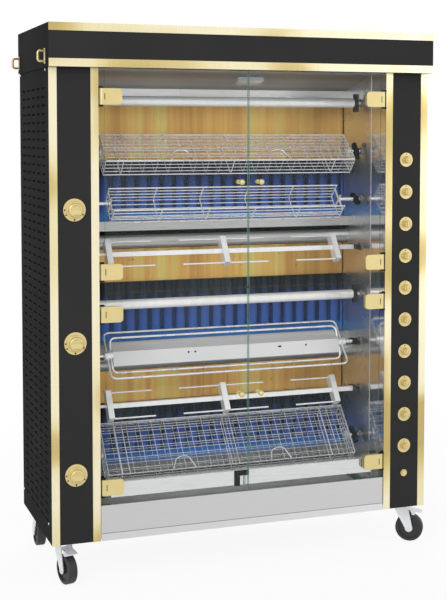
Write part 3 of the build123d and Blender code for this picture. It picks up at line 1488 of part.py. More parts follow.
for number, zk in enumerate(MODULE_Z, 1):
    save(f"gas_knob_{number}", make_gas_knob(zk))
for number, z in enumerate(SWITCH_Z, 1):
    save(f"switch_knob_{number}", make_switch_knob(z))
save("push_button", make_push_button())
save("drip_tray", make_drip_tray())

upper_basket = (UPPER_BASKET_W, UPPER_BASKET_H, UPPER_BASKET_TILT, UPPER_BASKET_SHIFT)
lower_basket = (LOWER_BASKET_W, LOWER_BASKET_H, LOWER_BASKET_TILT, LOWER_BASKET_SHIFT)
save("spit_1_tube", *make_tube_spit(SPIT_Z[0], 90))
save("spit_2_basket", *make_basket(SPIT_Z[1], 60, *upper_basket))
save("spit_2_lid", make_lid(SPIT_Z[1], *upper_basket))
save("spit_3_cradle", make_cradle(SPIT_Z[2], 30))
save("spit_4_forks", make_fork_spit(SPIT_Z[3], 0, FORK_TURN))
save("spit_5_tube", *make_tube_spit(SPIT_Z[4], 90))
save("spit_6_rack", make_rack(SPIT_Z[5], 0), make_rack_tray(SPIT_Z[5]))
save("spit_7_forks", make_fork_spit(SPIT_Z[6], 0, FORK_TURN))
save("spit_8_basket", *make_basket(SPIT_Z[7], 45, *lower_basket))
save("spit_8_lid", make_lid(SPIT_Z[7], *lower_basket))

for corner, heading in CASTER_HEADINGS.items():
    x, y = caster_place(corner)
    place = Plane(origin=(x, y, 0), x_dir=(*heading, 0), z_dir=(0, 0, 1)).location
    braked = "front" in corner
    save(f"caster_fork_{corner}", make_caster_fork(braked).moved(place))
    save(f"caster_wheel_{corner}", make_caster_wheel().moved(place))
    if braked:
        save(f"brake_pedal_{corner}", make_brake_pedal().moved(place))
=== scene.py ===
import math

import bmesh
import bpy
from mathutils import Matrix, Vector


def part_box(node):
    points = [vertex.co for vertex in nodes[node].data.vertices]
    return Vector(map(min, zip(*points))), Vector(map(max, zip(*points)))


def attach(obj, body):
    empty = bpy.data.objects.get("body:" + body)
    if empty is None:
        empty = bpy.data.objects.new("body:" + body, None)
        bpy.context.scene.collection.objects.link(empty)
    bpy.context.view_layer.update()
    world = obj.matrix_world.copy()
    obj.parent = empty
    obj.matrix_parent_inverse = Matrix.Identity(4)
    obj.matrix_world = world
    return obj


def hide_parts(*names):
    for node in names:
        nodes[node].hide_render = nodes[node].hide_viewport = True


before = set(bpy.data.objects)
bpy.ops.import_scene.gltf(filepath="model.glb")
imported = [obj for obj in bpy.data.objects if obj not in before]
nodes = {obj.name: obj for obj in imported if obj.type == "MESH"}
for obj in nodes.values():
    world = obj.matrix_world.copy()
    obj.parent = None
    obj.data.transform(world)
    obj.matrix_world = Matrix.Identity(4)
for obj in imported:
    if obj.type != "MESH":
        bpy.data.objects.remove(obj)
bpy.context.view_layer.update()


def spread(top, bottom, count):
    """Heights spaced evenly from top to bottom."""
    return [top - (top - bottom) * i / (count - 1) for i in range(count)]


# Key places of the object in metres: x to the right, y to the back, z up
FRONT = -0.2415         # faces of the columns
BACK = 0.2635           # back of the cabinet
BACK_WALL = 0.1115      # back wall of the oven
LEDGE = 0.0585          # front of the burner ledges
BOTTOM = 0.150          # underside of the cabinet
HEADER_Z = 1.710        # underside of the header
HALF_W = 0.682          # outside of the side panels
INNER = 0.519           # inside of the side walls
KNOB_X = 0.6005         # middle of the columns
HINGE_X = 0.507         # hinge pins
SPIT_Y = -0.0435        # axes of the spits
SPIT_LEFT = -0.517      # ends of the spits
SPIT_RIGHT = 0.5605
GRIP = 0.489            # left face of the black grips, and their thickness
GRIP_T = 0.016
LOAD = 0.448            # half length of the rack's loops; the cradle is a little shorter
BASKET = 0.464          # half length of the mesh baskets
FLUTE_PITCH = 0.0472
FLUTE_CREST = 0.010     # middle of one crest
PLATE_LOW = 0.062       # lower edge of a cast plate, below its module's height
TRAY_LIP = 0.173        # top of the drip tray's lip
GAS_SEAT = FRONT - 0.003        # faces of the two kinds of bezel
SWITCH_SEAT = FRONT - 0.0025
SPIT_Z = spread(1.609, 0.3791, 8)
MODULE_Z = spread(1.2498, 0.3786, 3)
SWITCH_Z = spread(1.4045, 0.3766, 10)
SIDES = (("left", -1), ("right", 1))

# Camera at the photograph's viewing angle; lengths of its image are in pixels
PHOTO_HEIGHT = 600
FOCAL_LENGTH = 1237.9
IMAGE_SHIFT = -90.7
camera_data = bpy.data.cameras.new("camera")
camera = bpy.data.objects.new("camera", camera_data)
bpy.context.scene.collection.objects.link(camera)
camera.location = (-1.485, FRONT - 3.929, 1.491)
camera.rotation_euler = (math.radians(90 - 3.42), 0, math.radians(-19.57))
camera_data.sensor_width = 36.0
camera_data.lens = 36.0 * FOCAL_LENGTH / PHOTO_HEIGHT
camera_data.shift_y = IMAGE_SHIFT / PHOTO_HEIGHT
camera_data.clip_end = 50
bpy.context.scene.camera = camera
bpy.context.scene.view_settings.view_transform = "Standard"


# Materials


class Graph:
    """Short way to add and link the shader nodes of a material or the world."""

    def __init__(self, owner):
        self.tree = owner.node_tree

    def put(self, socket, value):
        if isinstance(value, bpy.types.NodeSocket):
            self.tree.links.new(value, socket)
        else:
            socket.default_value = value

    def fill(self, node, values):
        for key, value in values.items():
            self.put(node.inputs[key], value)

    def node(self, kind, values=None, **settings):
        made = self.tree.nodes.new(kind)
        for key, value in settings.items():
            setattr(made, key, value)
        self.fill(made, values or {})
        return made

    def place(self):
        return self.node("ShaderNodeTexCoord").outputs["Object"]

    def facing(self):
        """Direction of the surface, in the object's own axes."""
        return self.split(self.node("ShaderNodeTexCoord").outputs["Normal"])

    def split(self, vector):
        return self.node("ShaderNodeSeparateXYZ", {0: vector}).outputs

    def math(self, operation, a, b=0.0):
        return self.node("ShaderNodeMath", {0: a, 1: b}, operation=operation).outputs[0]

    def plus(self, a, b):
        return self.math("ADD", a, b)

    def minus(self, a, b):
        return self.math("SUBTRACT", a, b)

    def times(self, a, b):
        return self.math("MULTIPLY", a, b)

    def most(self, a, b):
        return self.math("MAXIMUM", a, b)

    def over(self, a, b):
        """1 where a is greater than b, else 0."""
        return self.math("GREATER_THAN", a, b)

    def size(self, a):
        return self.math("ABSOLUTE", a)

    def noise(self, vector, scale, stretch=(1, 1, 1), detail=3.0, rough=0.5):
        moved = self.node("ShaderNodeMapping", {"Vector": vector, "Scale": stretch})
        made = self.node("ShaderNodeTexNoise", {"Vector": moved.outputs[0], "Scale": scale,
                                                "Detail": detail, "Roughness": rough})
        return made.outputs[0]

    def ramp(self, value, stops):
        made = self.node("ShaderNodeValToRGB", {0: value})
        ends = made.color_ramp.elements
        while len(ends) < len(stops):
            ends.new(0.5)
        for end, (place, color) in zip(ends, stops):
            end.position = place
            end.color = (*color, 1)
        return made.outputs[0]

    def mix(self, factor, a, b):
        made = self.node("ShaderNodeMix", {0: factor}, data_type="RGBA")
        for socket, color in ((6, a), (7, b)):
            linked = isinstance(color, bpy.types.NodeSocket)
            self.put(made.inputs[socket], color if linked else (*color, 1))
        return made.outputs[2]

    def span(self, value, low, high, to_low=0.0, to_high=1.0):
        """Value scaled from one range to another and clamped."""
        made = self.node("ShaderNodeMapRange", {0: value, 1: low, 2: high, 3: to_low, 4: to_high})
        return made.outputs[0]

    def bump(self, height, strength, distance=0.0004):
        made = self.node("ShaderNodeBump", {"Height": height, "Strength": strength,
                                            "Distance": distance})
        return made.outputs[0]

    def seen(self):
        """1 for camera rays and for those that metal or glass passes on."""
        rays = self.node("ShaderNodeLightPath").outputs
        passed = self.most(rays["Is Glossy Ray"], rays["Is Transmission Ray"])
        return self.most(rays["Is Camera Ray"], passed)


def new_material(name, color, metallic=0.0, roughness=0.5, specular=0.5):
    mat = bpy.data.materials.new(name)
    mat.use_nodes = True
    shader = mat.node_tree.nodes["Principled BSDF"]
    shader.inputs["Base Color"].default_value = (*color, 1)
    shader.inputs["Metallic"].default_value = metallic
    shader.inputs["Roughness"].default_value = roughness
    shader.inputs["Specular IOR Level"].default_value = specular
    return mat, shader, Graph(mat)


def grey(value):
    return (value, value, value)


def make_enamel():
    """Satin black enamel with a fine orange peel; the sides are rougher and carry painted shade that makes
    them far darker.
    """
    mat, shader, g = new_material("black_enamel", (0.024, 0.024, 0.025), 0.0, 0.55, 0.09)
    place = g.place()
    cloud = g.noise(place, 3.0, detail=4.0)
    face = g.ramp(cloud, [(0.3, (0.024, 0.024, 0.0245)), (0.75, (0.030, 0.030, 0.0305))])
    # painted shade: faces that look sideways are painted about ten times darker than the fronts
    painted_shade_flank = g.ramp(cloud, [(0.3, (0.002, 0.002, 0.0021)), (0.75, (0.004, 0.004, 0.0042))])
    sideways = g.span(g.size(g.facing()[0]), 0.5, 0.9)
    g.fill(shader, {
        "Base Color": g.mix(sideways, face, painted_shade_flank),
        "Roughness": g.plus(g.span(cloud, 0.3, 0.7, 0.50, 0.60), g.times(sideways, 0.25)),
        "Normal": g.bump(g.noise(place, 900.0, detail=1.0), 0.08),
    })
    return mat


def make_brushed(name, color, roughness, along, metallic, spread, dark, strength):
    """Brushed metal: streaks along one axis in tone, roughness and relief."""
    mat, shader, g = new_material(name, color, metallic, roughness)
    place = g.place()
    streak = g.noise(place, 12.0, along, detail=5.0, rough=0.65)
    cloud = g.noise(place, 5.0, detail=2.0)
    low = tuple(c * dark for c in color)
    high = tuple(min(1.0, c * 1.05) for c in color)
    g.fill(shader, {
        "Base Color": g.ramp(streak, [(0.25, low), (0.75, high)]),
        "Roughness": g.plus(g.span(streak, 0.2, 0.8, -spread / 2, spread / 2),
                            g.span(cloud, 0.3, 0.7, roughness - spread / 3, roughness + spread / 3)),
        "Normal": g.bump(streak, strength),
    })
    return mat


def make_brass():
    """Polished brass strip with painted highlight and shade: its colour wanders from pale cream to dark
    gold along its length.
    """
    mat, shader, g = new_material("polished_brass", (0.84, 0.72, 0.40), 0.75, 0.30)
    place = g.place()
    painted_sheen_drift = g.noise(place, 3.1, (1.0, 0.3, 1.0), detail=1.0, rough=0.4)
    # painted highlight and shade: pale cream patches stand in for highlights, dark gold ones for shade
    tone = g.ramp(painted_sheen_drift, [(0.40, (0.54, 0.42, 0.16)), (0.46, (0.68, 0.55, 0.24)),
                          (0.52, (0.86, 0.76, 0.46)), (0.60, (0.93, 0.86, 0.62))])
    streak = g.noise(place, 1.0, (300.0, 300.0, 2.0), detail=3.0)
    g.fill(shader, {
        "Base Color": g.mix(g.span(streak, 0.35, 0.7, 0.0, 0.18), tone, (0.66, 0.52, 0.22)),
        "Roughness": g.span(streak, 0.3, 0.7, 0.26, 0.36),
    })
    return mat


def make_bronze():
    """Steel sheet turned bronze by heat, in upright stripes with small soot specks."""
    mat, shader, g = new_material("heat_tinted_steel", (0.46, 0.30, 0.13), 0.6, 0.34)
    place = g.place()
    wide = g.noise(place, 1.0, (13.0, 1.0, 0.5), detail=2.0, rough=0.5)
    fine = g.noise(place, 1.0, (75.0, 1.0, 1.0), detail=3.0, rough=0.6)
    tint = g.ramp(g.plus(g.times(wide, 0.62), g.times(fine, 0.38)),
                  [(0.36, (0.52, 0.27, 0.070)), (0.46, (0.62, 0.35, 0.095)),
                   (0.54, (0.70, 0.43, 0.12)), (0.60, (0.64, 0.50, 0.14)),
                   (0.66, (0.70, 0.56, 0.18))])
    specks = g.span(g.noise(place, 60.0, detail=2.0, rough=0.7), 0.70, 0.76)
    g.fill(shader, {
        "Base Color": g.mix(specks, tint, (0.20, 0.13, 0.06)),
        "Roughness": g.span(fine, 0.3, 0.7, 0.28, 0.42),
    })
    return mat


def above_plate(g, z):
    """Height above the lower edge of the cast plate that z belongs to."""
    margin = 0.11           # how far below that edge a module still reaches
    pitch = (MODULE_Z[0] - MODULE_Z[2]) / 2
    turns = g.math("DIVIDE", g.minus(z, MODULE_Z[2] - PLATE_LOW - margin), pitch)
    return g.minus(g.times(g.math("FRACT", turns), pitch), margin)


def make_flutes():
    """Black cast plate with painted blue flame light: strongest just above its burner, fading to black at
    the top, and dark between its crests.
    """
    mat, shader, g = new_material("cast_black", (0.05, 0.09, 0.3), 0.0, 0.45, 0.25)
    place = g.place()
    x, _, z = g.split(place)
    height = g.span(above_plate(g, z), 0.0, 0.215)
    # painted flame light on the crests: bright blue above the burner, fading to black near the top
    flute = g.ramp(height, [(0.0, (0.065, 0.29, 0.78)), (0.13, (0.060, 0.24, 0.70)),
                            (0.17, (0.062, 0.17, 0.60)), (0.45, (0.060, 0.125, 0.47)),
                            (0.66, (0.036, 0.062, 0.22)), (0.80, (0.014, 0.017, 0.030)),
                            (1.0, (0.010, 0.011, 0.014))])
    # between the crests the painted flame light shows only just above the burner
    groove = g.ramp(height, [(0.0, (0.060, 0.27, 0.74)), (0.12, (0.050, 0.19, 0.58)),
                             (0.16, (0.010, 0.032, 0.13)), (0.5, (0.005, 0.010, 0.034)),
                             (1.0, (0.006, 0.007, 0.009))])
    turns = g.math("DIVIDE", g.minus(x, FLUTE_CREST), FLUTE_PITCH)
    from_crest = g.size(g.minus(g.math("FRACT", g.plus(turns, 0.5)), 0.5))
    past_ends = g.over(g.size(x), 0.508)
    crest = g.most(g.span(from_crest, 0.36, 0.30), past_ends)
    streak = g.noise(place, 1.0, (70.0, 1.0, 3.0), detail=3.0)
    # painted flame light in upright streaks, blue low down and near black high up
    painted_flame_streak = g.mix(height, (0.10, 0.22, 0.55), (0.02, 0.022, 0.03))
    g.fill(shader, {
        "Base Color": g.mix(g.span(streak, 0.35, 0.7, 0.0, 0.25), g.mix(crest, groove, flute), painted_flame_streak),
        "Roughness": g.span(streak, 0.3, 0.7, 0.36, 0.52),
    })
    return mat


def make_liner():
    """Polished lining: duller behind the seam, with painted reflections in grey bands on the ceiling and
    painted shade near-black on its outer faces.
    """
    mat, shader, g = new_material("mirror_steel", grey(0.72), 0.9, 0.12)
    place = g.place()
    x, y, z = g.split(place)
    cloud = g.noise(place, 5.0, detail=2.0)
    streak = g.noise(place, 12.0, (1, 1, 30), detail=4.0)
    wall = g.ramp(streak, [(0.25, grey(0.66)), (0.75, grey(0.76))])
    run = g.span(y, FRONT + 0.015, BACK_WALL)
    # painted reflection: light and dark grey bands from front to back across the ceiling
    roof = g.ramp(run, [(0.0, (0.34, 0.36, 0.40)), (0.26, (0.32, 0.34, 0.38)),
                        (0.36, (0.15, 0.16, 0.18)), (0.48, (0.17, 0.18, 0.20)),
                        (0.60, (0.31, 0.32, 0.34)), (0.80, (0.28, 0.285, 0.30)),
                        (0.90, (0.12, 0.12, 0.12)), (1.0, (0.10, 0.10, 0.095))])
    ceiling = g.times(g.over(z, HEADER_Z - 0.0525), g.over(g.size(g.facing()[2]), 0.6))
    # painted shade: faces outside the cavity are near-black and not metal
    outside = g.most(g.over(g.size(x), INNER + 0.0007), g.over(y, BACK_WALL - 0.0007))
    metal = g.times(g.minus(1.0, outside), g.minus(0.9, g.times(ceiling, 0.6)))
    behind_seam = g.times(g.over(y, FRONT + 0.1165), 0.16)
    dull = g.most(behind_seam, g.times(ceiling, 0.22))
    rough = g.plus(g.span(cloud, 0.3, 0.7, 0.09, 0.15), dull)
    g.fill(shader, {
        "Base Color": g.mix(outside, g.mix(ceiling, wall, roof), grey(0.010)),
        "Metallic": metal,
        "Roughness": g.most(rough, g.times(outside, 0.8)),
        "Normal": g.bump(streak, 0.01),
    })
    return mat


def make_burner_steel():
    """Brushed ledges and guards, with painted shade making everything behind their front skins near-black.
    """
    mat, shader, g = new_material("burner_steel", grey(0.60), 0.7, 0.30)
    place = g.place()
    _, y, z = g.split(place)
    streak = g.noise(place, 12.0, (1, 60, 60), detail=5.0, rough=0.65)
    skin = g.ramp(streak, [(0.25, (0.44, 0.44, 0.43)), (0.75, (0.54, 0.54, 0.53))])
    # painted shade: parts behind the front skins, below each plate's lower edge, are near-black and not
    # metal
    behind = g.times(g.over(y, LEDGE + 0.014), g.math("LESS_THAN", above_plate(g, z), -0.0010))
    g.fill(shader, {
        "Base Color": g.mix(behind, skin, grey(0.006)),
        "Metallic": g.times(g.minus(1.0, behind), 0.7),
        "Roughness": g.most(g.span(streak, 0.2, 0.8, 0.24, 0.36), g.times(behind, 0.8)),
        "Normal": g.bump(streak, 0.04),
    })
    return mat


def make_glass():
    """Clear toughened glass: nearly invisible face on, with a sheen at a glance and green cut edges."""
    mat, shader, g = new_material("clear_glass", (0.45, 0.62, 0.56), 0.0, 0.04)
    edge = g.span(g.size(g.facing()[1]), 0.7, 0.3)
    turned = g.node("ShaderNodeLayerWeight", {"Blend": 0.5}).outputs["Facing"]
    sheen = g.span(turned, 0.45, 1.0, 0.012, 0.55)
    smear = g.noise(g.place(), 4.0, (1.0, 1.0, 0.5), detail=3.0)
    alpha = g.plus(sheen, g.span(smear, 0.45, 0.75, 0.0, 0.012))
    g.fill(shader, {
        "Alpha": g.most(alpha, g.times(edge, 0.6)),
        "Base Color": g.mix(edge, (0.45, 0.62, 0.56), (0.09, 0.24, 0.19)),
    })
    mat.surface_render_method = "BLENDED"
    return mat


def make_chrome():
    """Bright wire with faint clouding."""
    mat, shader, g = new_material("chrome_wire", grey(0.88), 0.55, 0.30)
    cloud = g.noise(g.place(), 30.0, detail=3.0)
    g.fill(shader, {
        "Base Color": g.ramp(cloud, [(0.3, (0.78, 0.78, 0.79)), (0.7, (0.92, 0.92, 0.93))]),
        "Roughness": g.span(cloud, 0.3, 0.7, 0.22, 0.38),
    })
    return mat


def make_spit_metal():
    """Bright spit steel with the black grip at the driven end."""
    mat, shader, g = new_material("spit_steel", grey(0.90), 0.3, 0.2)
    place = g.place()
    x = g.split(place)[0]
    grip = g.times(g.over(x, GRIP - 0.0005), g.math("LESS_THAN", x, GRIP + GRIP_T + 0.0005))
    cloud = g.noise(place, 14.0, (4, 1, 1), detail=4.0)
    steel = g.ramp(cloud, [(0.3, grey(0.86)), (0.7, grey(0.95))])
    g.fill(shader, {
        "Base Color": g.mix(grip, steel, grey(0.012)),
        "Metallic": g.times(g.minus(1.0, grip), 0.3),
        "Roughness": g.plus(g.span(cloud, 0.3, 0.7, 0.14, 0.26), g.times(grip, 0.3)),
    })
    return mat


def make_rubber():
    """Black tyre with a fine grain."""
    mat, shader, g = new_material("wheel_rubber", (0.018, 0.018, 0.019), 0.0, 0.55)
    place = g.place()
    cloud = g.noise(place, 40.0, detail=4.0)
    g.fill(shader, {
        "Base Color": g.ramp(cloud, [(0.3, grey(0.014)), (0.7, (0.030, 0.030, 0.032))]),
        "Roughness": g.span(cloud, 0.3, 0.7, 0.45, 0.65),
        "Normal": g.bump(g.noise(place, 700.0, detail=2.0), 0.15),
    })
    return mat


def make_plain(name, color, metallic, roughness, scale=400.0, relief=0.1, specular=0.5):
    """Plain finish with slight clouding and a fine surface grain."""
    mat, shader, g = new_material(name, color, metallic, roughness, specular)
    place = g.place()
    cloud = g.noise(place, 18.0, detail=3.0)
    low = tuple(c * 0.88 for c in color)
    high = tuple(min(1.0, c * 1.08) for c in color)
    g.fill(shader, {
        "Base Color": g.ramp(cloud, [(0.3, low), (0.7, high)]),
        "Roughness": g.span(cloud, 0.3, 0.7, roughness * 0.85, min(1.0, roughness * 1.15)),
        "Normal": g.bump(g.noise(place, scale, detail=2.0), relief, 0.0003),
    })
    return mat


ENAMEL = make_enamel()
BRASS = make_brass()
FITTINGS = make_brushed("brass_fittings", (0.74, 0.61, 0.28), 0.34, (1, 1, 1), metallic=0.45,
                        spread=0.05, dark=0.93, strength=0.02)
LINER = make_liner()
BURNER = make_burner_steel()
SEAM = make_brushed("stainless", grey(0.62), 0.32, (1, 60, 60), metallic=1.0,
                    spread=0.10, dark=0.9, strength=0.04)
TRAY = make_brushed("satin_stainless", grey(0.60), 0.42, (1, 40, 40), metallic=0.55,
                    spread=0.06, dark=0.97, strength=0.02)
BRONZE = make_bronze()
FLUTES = make_flutes()
GLASS = make_glass()
CHROME = make_chrome()
SPIT = make_spit_metal()
RUBBER = make_rubber()
ZINC = make_plain("zinc_steel", (0.82, 0.83, 0.85), 0.45, 0.32, 300.0, 0.08)
BRACKET = make_plain("bracket_steel", (0.13, 0.145, 0.135), 0.2, 0.5, 300.0)
SHEET = make_brushed("rack_steel", grey(0.70), 0.36, (60, 1, 60), metallic=0.3,
                     spread=0.05, dark=0.97, strength=0.02)
BLACK = make_plain("black_plastic", grey(0.008), 0.0, 0.6, specular=0.25)
MOTOR = make_plain("motor_grey", (0.10, 0.11, 0.12), 0.0, 0.5)
PIPE = make_plain("pipe_brass", (0.55, 0.40, 0.16), 1.0, 0.35)
# painted shade behind the side panels' slots: near-black with almost no gloss
SLOT_SHADE = make_plain("painted_shade_black", grey(0.016), 0.0, 0.95, specular=0.02)
EDGE = make_plain("ground_glass_edge", (0.11, 0.23, 0.19), 0.0, 0.3, 300.0, 0.05)
BEARING = make_plain("bearing_steel", grey(0.20), 0.3, 0.55, 300.0)
LENS = make_plain("lamp_glass", (0.62, 0.64, 0.64), 0.0, 0.15, 120.0, 0.3)

FINISH = {
    "side_panels": ENAMEL, "column_panels": ENAMEL, "header_canopy": ENAMEL, "back_panel": ENAMEL,
    "brass_trims": BRASS, "base_chassis": ZINC, "cavity_liner": LINER, "lamp": LENS,
    "reflector_plates": BRONZE, "burner_plates": FLUTES, "burners": BURNER, "gas_train": PIPE,
    "spit_bearings": BEARING, "spit_gearmotors": MOTOR, "switches_and_gland": BLACK,
    "door_brackets": BLACK, "drip_tray": TRAY,
}
FINISH_BY_START = {
    "spit_": SPIT, "door_glass": GLASS, "caster_wheel": RUBBER, "caster_fork": ZINC,
    "brake_pedal": ZINC,
}


def finish_for(name):
    """Finish of a solid by its name; all the rest is brass fittings."""
    if name in FINISH:
        return FINISH[name]
    for start, finish in FINISH_BY_START.items():
        if name.startswith(start):
            return finish
    return FITTINGS


for name, obj in nodes.items():
    obj.data.materials.clear()
    obj.data.materials.append(finish_for(name))


# Mesh helpers


def add_mesh(name, build, mat, body, smooth=True, bevel=0.0):
    """New piece from a function that fills a bmesh; it rides on a body."""
    data = bpy.data.meshes.new(name)
    bm = bmesh.new()
    build(bm)
    bmesh.ops.recalc_face_normals(bm, faces=bm.faces)
    bm.to_mesh(data)
    bm.free()
    obj = bpy.data.objects.new(name, data)
    bpy.context.scene.collection.objects.link(obj)
    data.materials.append(mat)
    sharp = math.radians(40)
    if bevel:
        rounding = obj.modifiers.new("edges", "BEVEL")
        rounding.width = bevel
        rounding.segments = 2
        rounding.limit_method = "ANGLE"
        rounding.angle_limit = sharp
    for face in data.polygons:
        face.use_smooth = smooth
    if smooth:
        data.set_sharp_from_angle(angle=sharp)
    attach(obj, body)
    return obj


def ring(bm, centre, side, other, radius, sides):
    """Circle of vertices round a centre, in the plane of two directions."""
    turns = [2 * math.pi * k / sides for k in range(sides)]
    return [bm.verts.new(centre + radius * (math.cos(turn) * side + math.sin(turn) * other))
            for turn in turns]


def skin(bm, rings, closed=False):
    """Faces between rings, and caps on the ends where they don't meet."""
    sides = len(rings[0])
    pairs = list(zip(rings, rings[1:]))
    if closed:
        pairs.append((rings[-1], rings[0]))
    for a, b in pairs:
        for k in range(sides):
            bm.faces.new((a[k], a[(k + 1) % sides], b[(k + 1) % sides], b[k]))
    if not closed:
        bm.faces.new(list(reversed(rings[0])))
        bm.faces.new(rings[-1])


def tube(bm, points, radius, closed=False, sides=8):
    """Round wire along a polyline."""
    points = [Vector(p) for p in points]
    count = len(points)
    rings = []
    side = None
    for i, point in enumerate(points):
        before = points[i - 1] if closed or i > 0 else point
        after = points[(i + 1) % count] if closed or i < count - 1 else point
        along = (after - before).normalized()
        if side is None:
            side = along.orthogonal().normalized()
        else:
            side = (side - along * side.dot(along)).normalized()
        rings.append(ring(bm, point, side, along.cross(side), radius, sides))
    skin(bm, rings, closed)


def rounded(corners, radius, closed=True, arc=4):
    """Polyline with its corners turned into arcs."""
    corners = [Vector(c) for c in corners]
    count = len(corners)
    path = []
    for i, corner in enumerate(corners):
        if not closed and i in (0, count - 1):
            path.append(corner)
            continue
        before = corners[i - 1] - corner
        after = corners[(i + 1) % count] - corner
        reach = min(radius, before.length / 2, after.length / 2)
        start = corner + before.normalized() * reach
        end = corner + after.normalized() * reach
        for k in range(arc + 1):
            t = k / arc
            path.append(start * (1 - t) ** 2 + corner * 2 * t * (1 - t) + end * t ** 2)
    return path


def lathe(bm, centre, axis, profile, sides=48):
    """Turned solid: profile is a list of (distance along axis, radius)."""
    centre = Vector(centre)
    axis = Vector(axis).normalized()
    side = axis.orthogonal().normalized()
    other = axis.cross(side)
    skin(bm, [ring(bm, centre + axis * along, side, other, radius, sides) for along, radius in profile])


def brick(bm, low, high, matrix=None):
    """Box between two corners, optionally moved by a matrix."""
    low, high = Vector(low), Vector(high)
    made = bmesh.ops.create_cube(bm, size=1.0)
    place = Matrix.Translation((low + high) / 2) @ Matrix.Diagonal((*(high - low), 1))
    if matrix is not None:
        place = matrix @ place
    bmesh.ops.transform(bm, matrix=place, verts=made["verts"])


def steps(low, high, pitch):
    """Evenly spaced values from low to high, about a pitch apart."""
    count = max(1, round((high - low) / pitch))
    return [low + (high - low) * i / count for i in range(count + 1)]


def mirrored(side, a, b):
    """Left and right ends of a span that is mirrored about the middle."""
    return sorted((side * a, side * b))


# Spits: shafts and grips shared by the loads that are rebuilt here

JOURNAL_R = 0.006
NECK_R = 0.007


def shaft(bm, z, profile, sides=48):
    """Turned part of a spit; profile is a list of (x, radius)."""
    lathe(bm, (0, SPIT_Y, z), (1, 0, 0), profile, sides)


def spit_ends(bm, z, half, hub):
    """Journal and hub on the left, neck and drive shaft on the right."""
    shaft(bm, z, [(SPIT_LEFT, 0.0052), (SPIT_LEFT + 0.0008, JOURNAL_R), (-half - 0.006, JOURNAL_R),
                  (-half - 0.006, hub - 0.001), (-half - 0.005, hub), (-half - 0.001, hub),
                  (-half, hub - 0.001)])
    shaft(bm, z, [(half, hub - 0.001), (half + 0.001, hub), (half + 0.005, hub),
                  (half + 0.006, hub - 0.001), (half + 0.006, NECK_R), (GRIP, NECK_R)])
    shaft(bm, z, [(GRIP + GRIP_T, JOURNAL_R), (SPIT_RIGHT, JOURNAL_R)])


def cross_bar(name, z, turn, body):
    """Black grip bar across the driven end, with its collar."""
    place = Matrix.Translation((0, SPIT_Y, z)) @ Matrix.Rotation(math.radians(turn), 4, "X")

    def build(bm):
        brick(bm, (GRIP, -0.0325, -0.008), (GRIP + GRIP_T, 0.0325, 0.008), place)
        shaft(bm, z, [(GRIP - 0.003, 0.011), (GRIP + GRIP_T + 0.003, 0.011)], 32)

    add_mesh(name, build, BLACK, body, bevel=0.003)


class Section:
    """Tilted cross-section of a load: across and up are measured from its centre."""

    def __init__(self, z, tilt, shift=0.0):
        self.angle = math.radians(tilt)
        self.z = z + shift

    def at(self, x, across, up):
        cos, sin = math.cos(self.angle), math.sin(self.angle)
        return Vector((x, SPIT_Y + across * cos - up * sin, self.z + across * sin + up * cos))

    def wire(self, bm, x, start, end, radius, sides=8):
        """Straight wire at x between two (across, up) places."""
        tube(bm, [self.at(x, *start), self.at(x, *end)], radius, sides=sides)

    def rod(self, bm, half, across, up, radius, sides=8):
        """Straight wire along the spit."""
        tube(bm, [self.at(-half, across, up), self.at(half, across, up)], radius, sides=sides)

    def hoop(self, bm, x, side, low, rim, bend, radius, **bends):
        """Open hoop at x: down one side, over the bottom and up the other side."""
        corners = [self.at(x, -side, rim), self.at(x, -side, low), self.at(x, side, low),
                   self.at(x, side, rim)]
        arc = bends.pop("arc", 4)
        tube(bm, rounded(corners, bend, closed=False, arc=arc), radius, **bends)


EYES_X = (-0.3809, 0.0, 0.3809)     # hinge eyes of a lid
PAIRS_X = (-0.400, 0.0, 0.385)      # doubled bars
PAIR_HALF = 0.013
HANDLES_X = (-0.190, 0.170)
CROSS_PITCH = 0.047
SIDE_PITCH = 0.0155
END_PITCH = 0.020
FRAME_R = 0.0018
RIM_R = 0.0019
END_R = 0.0013
EYE_R = 0.0031


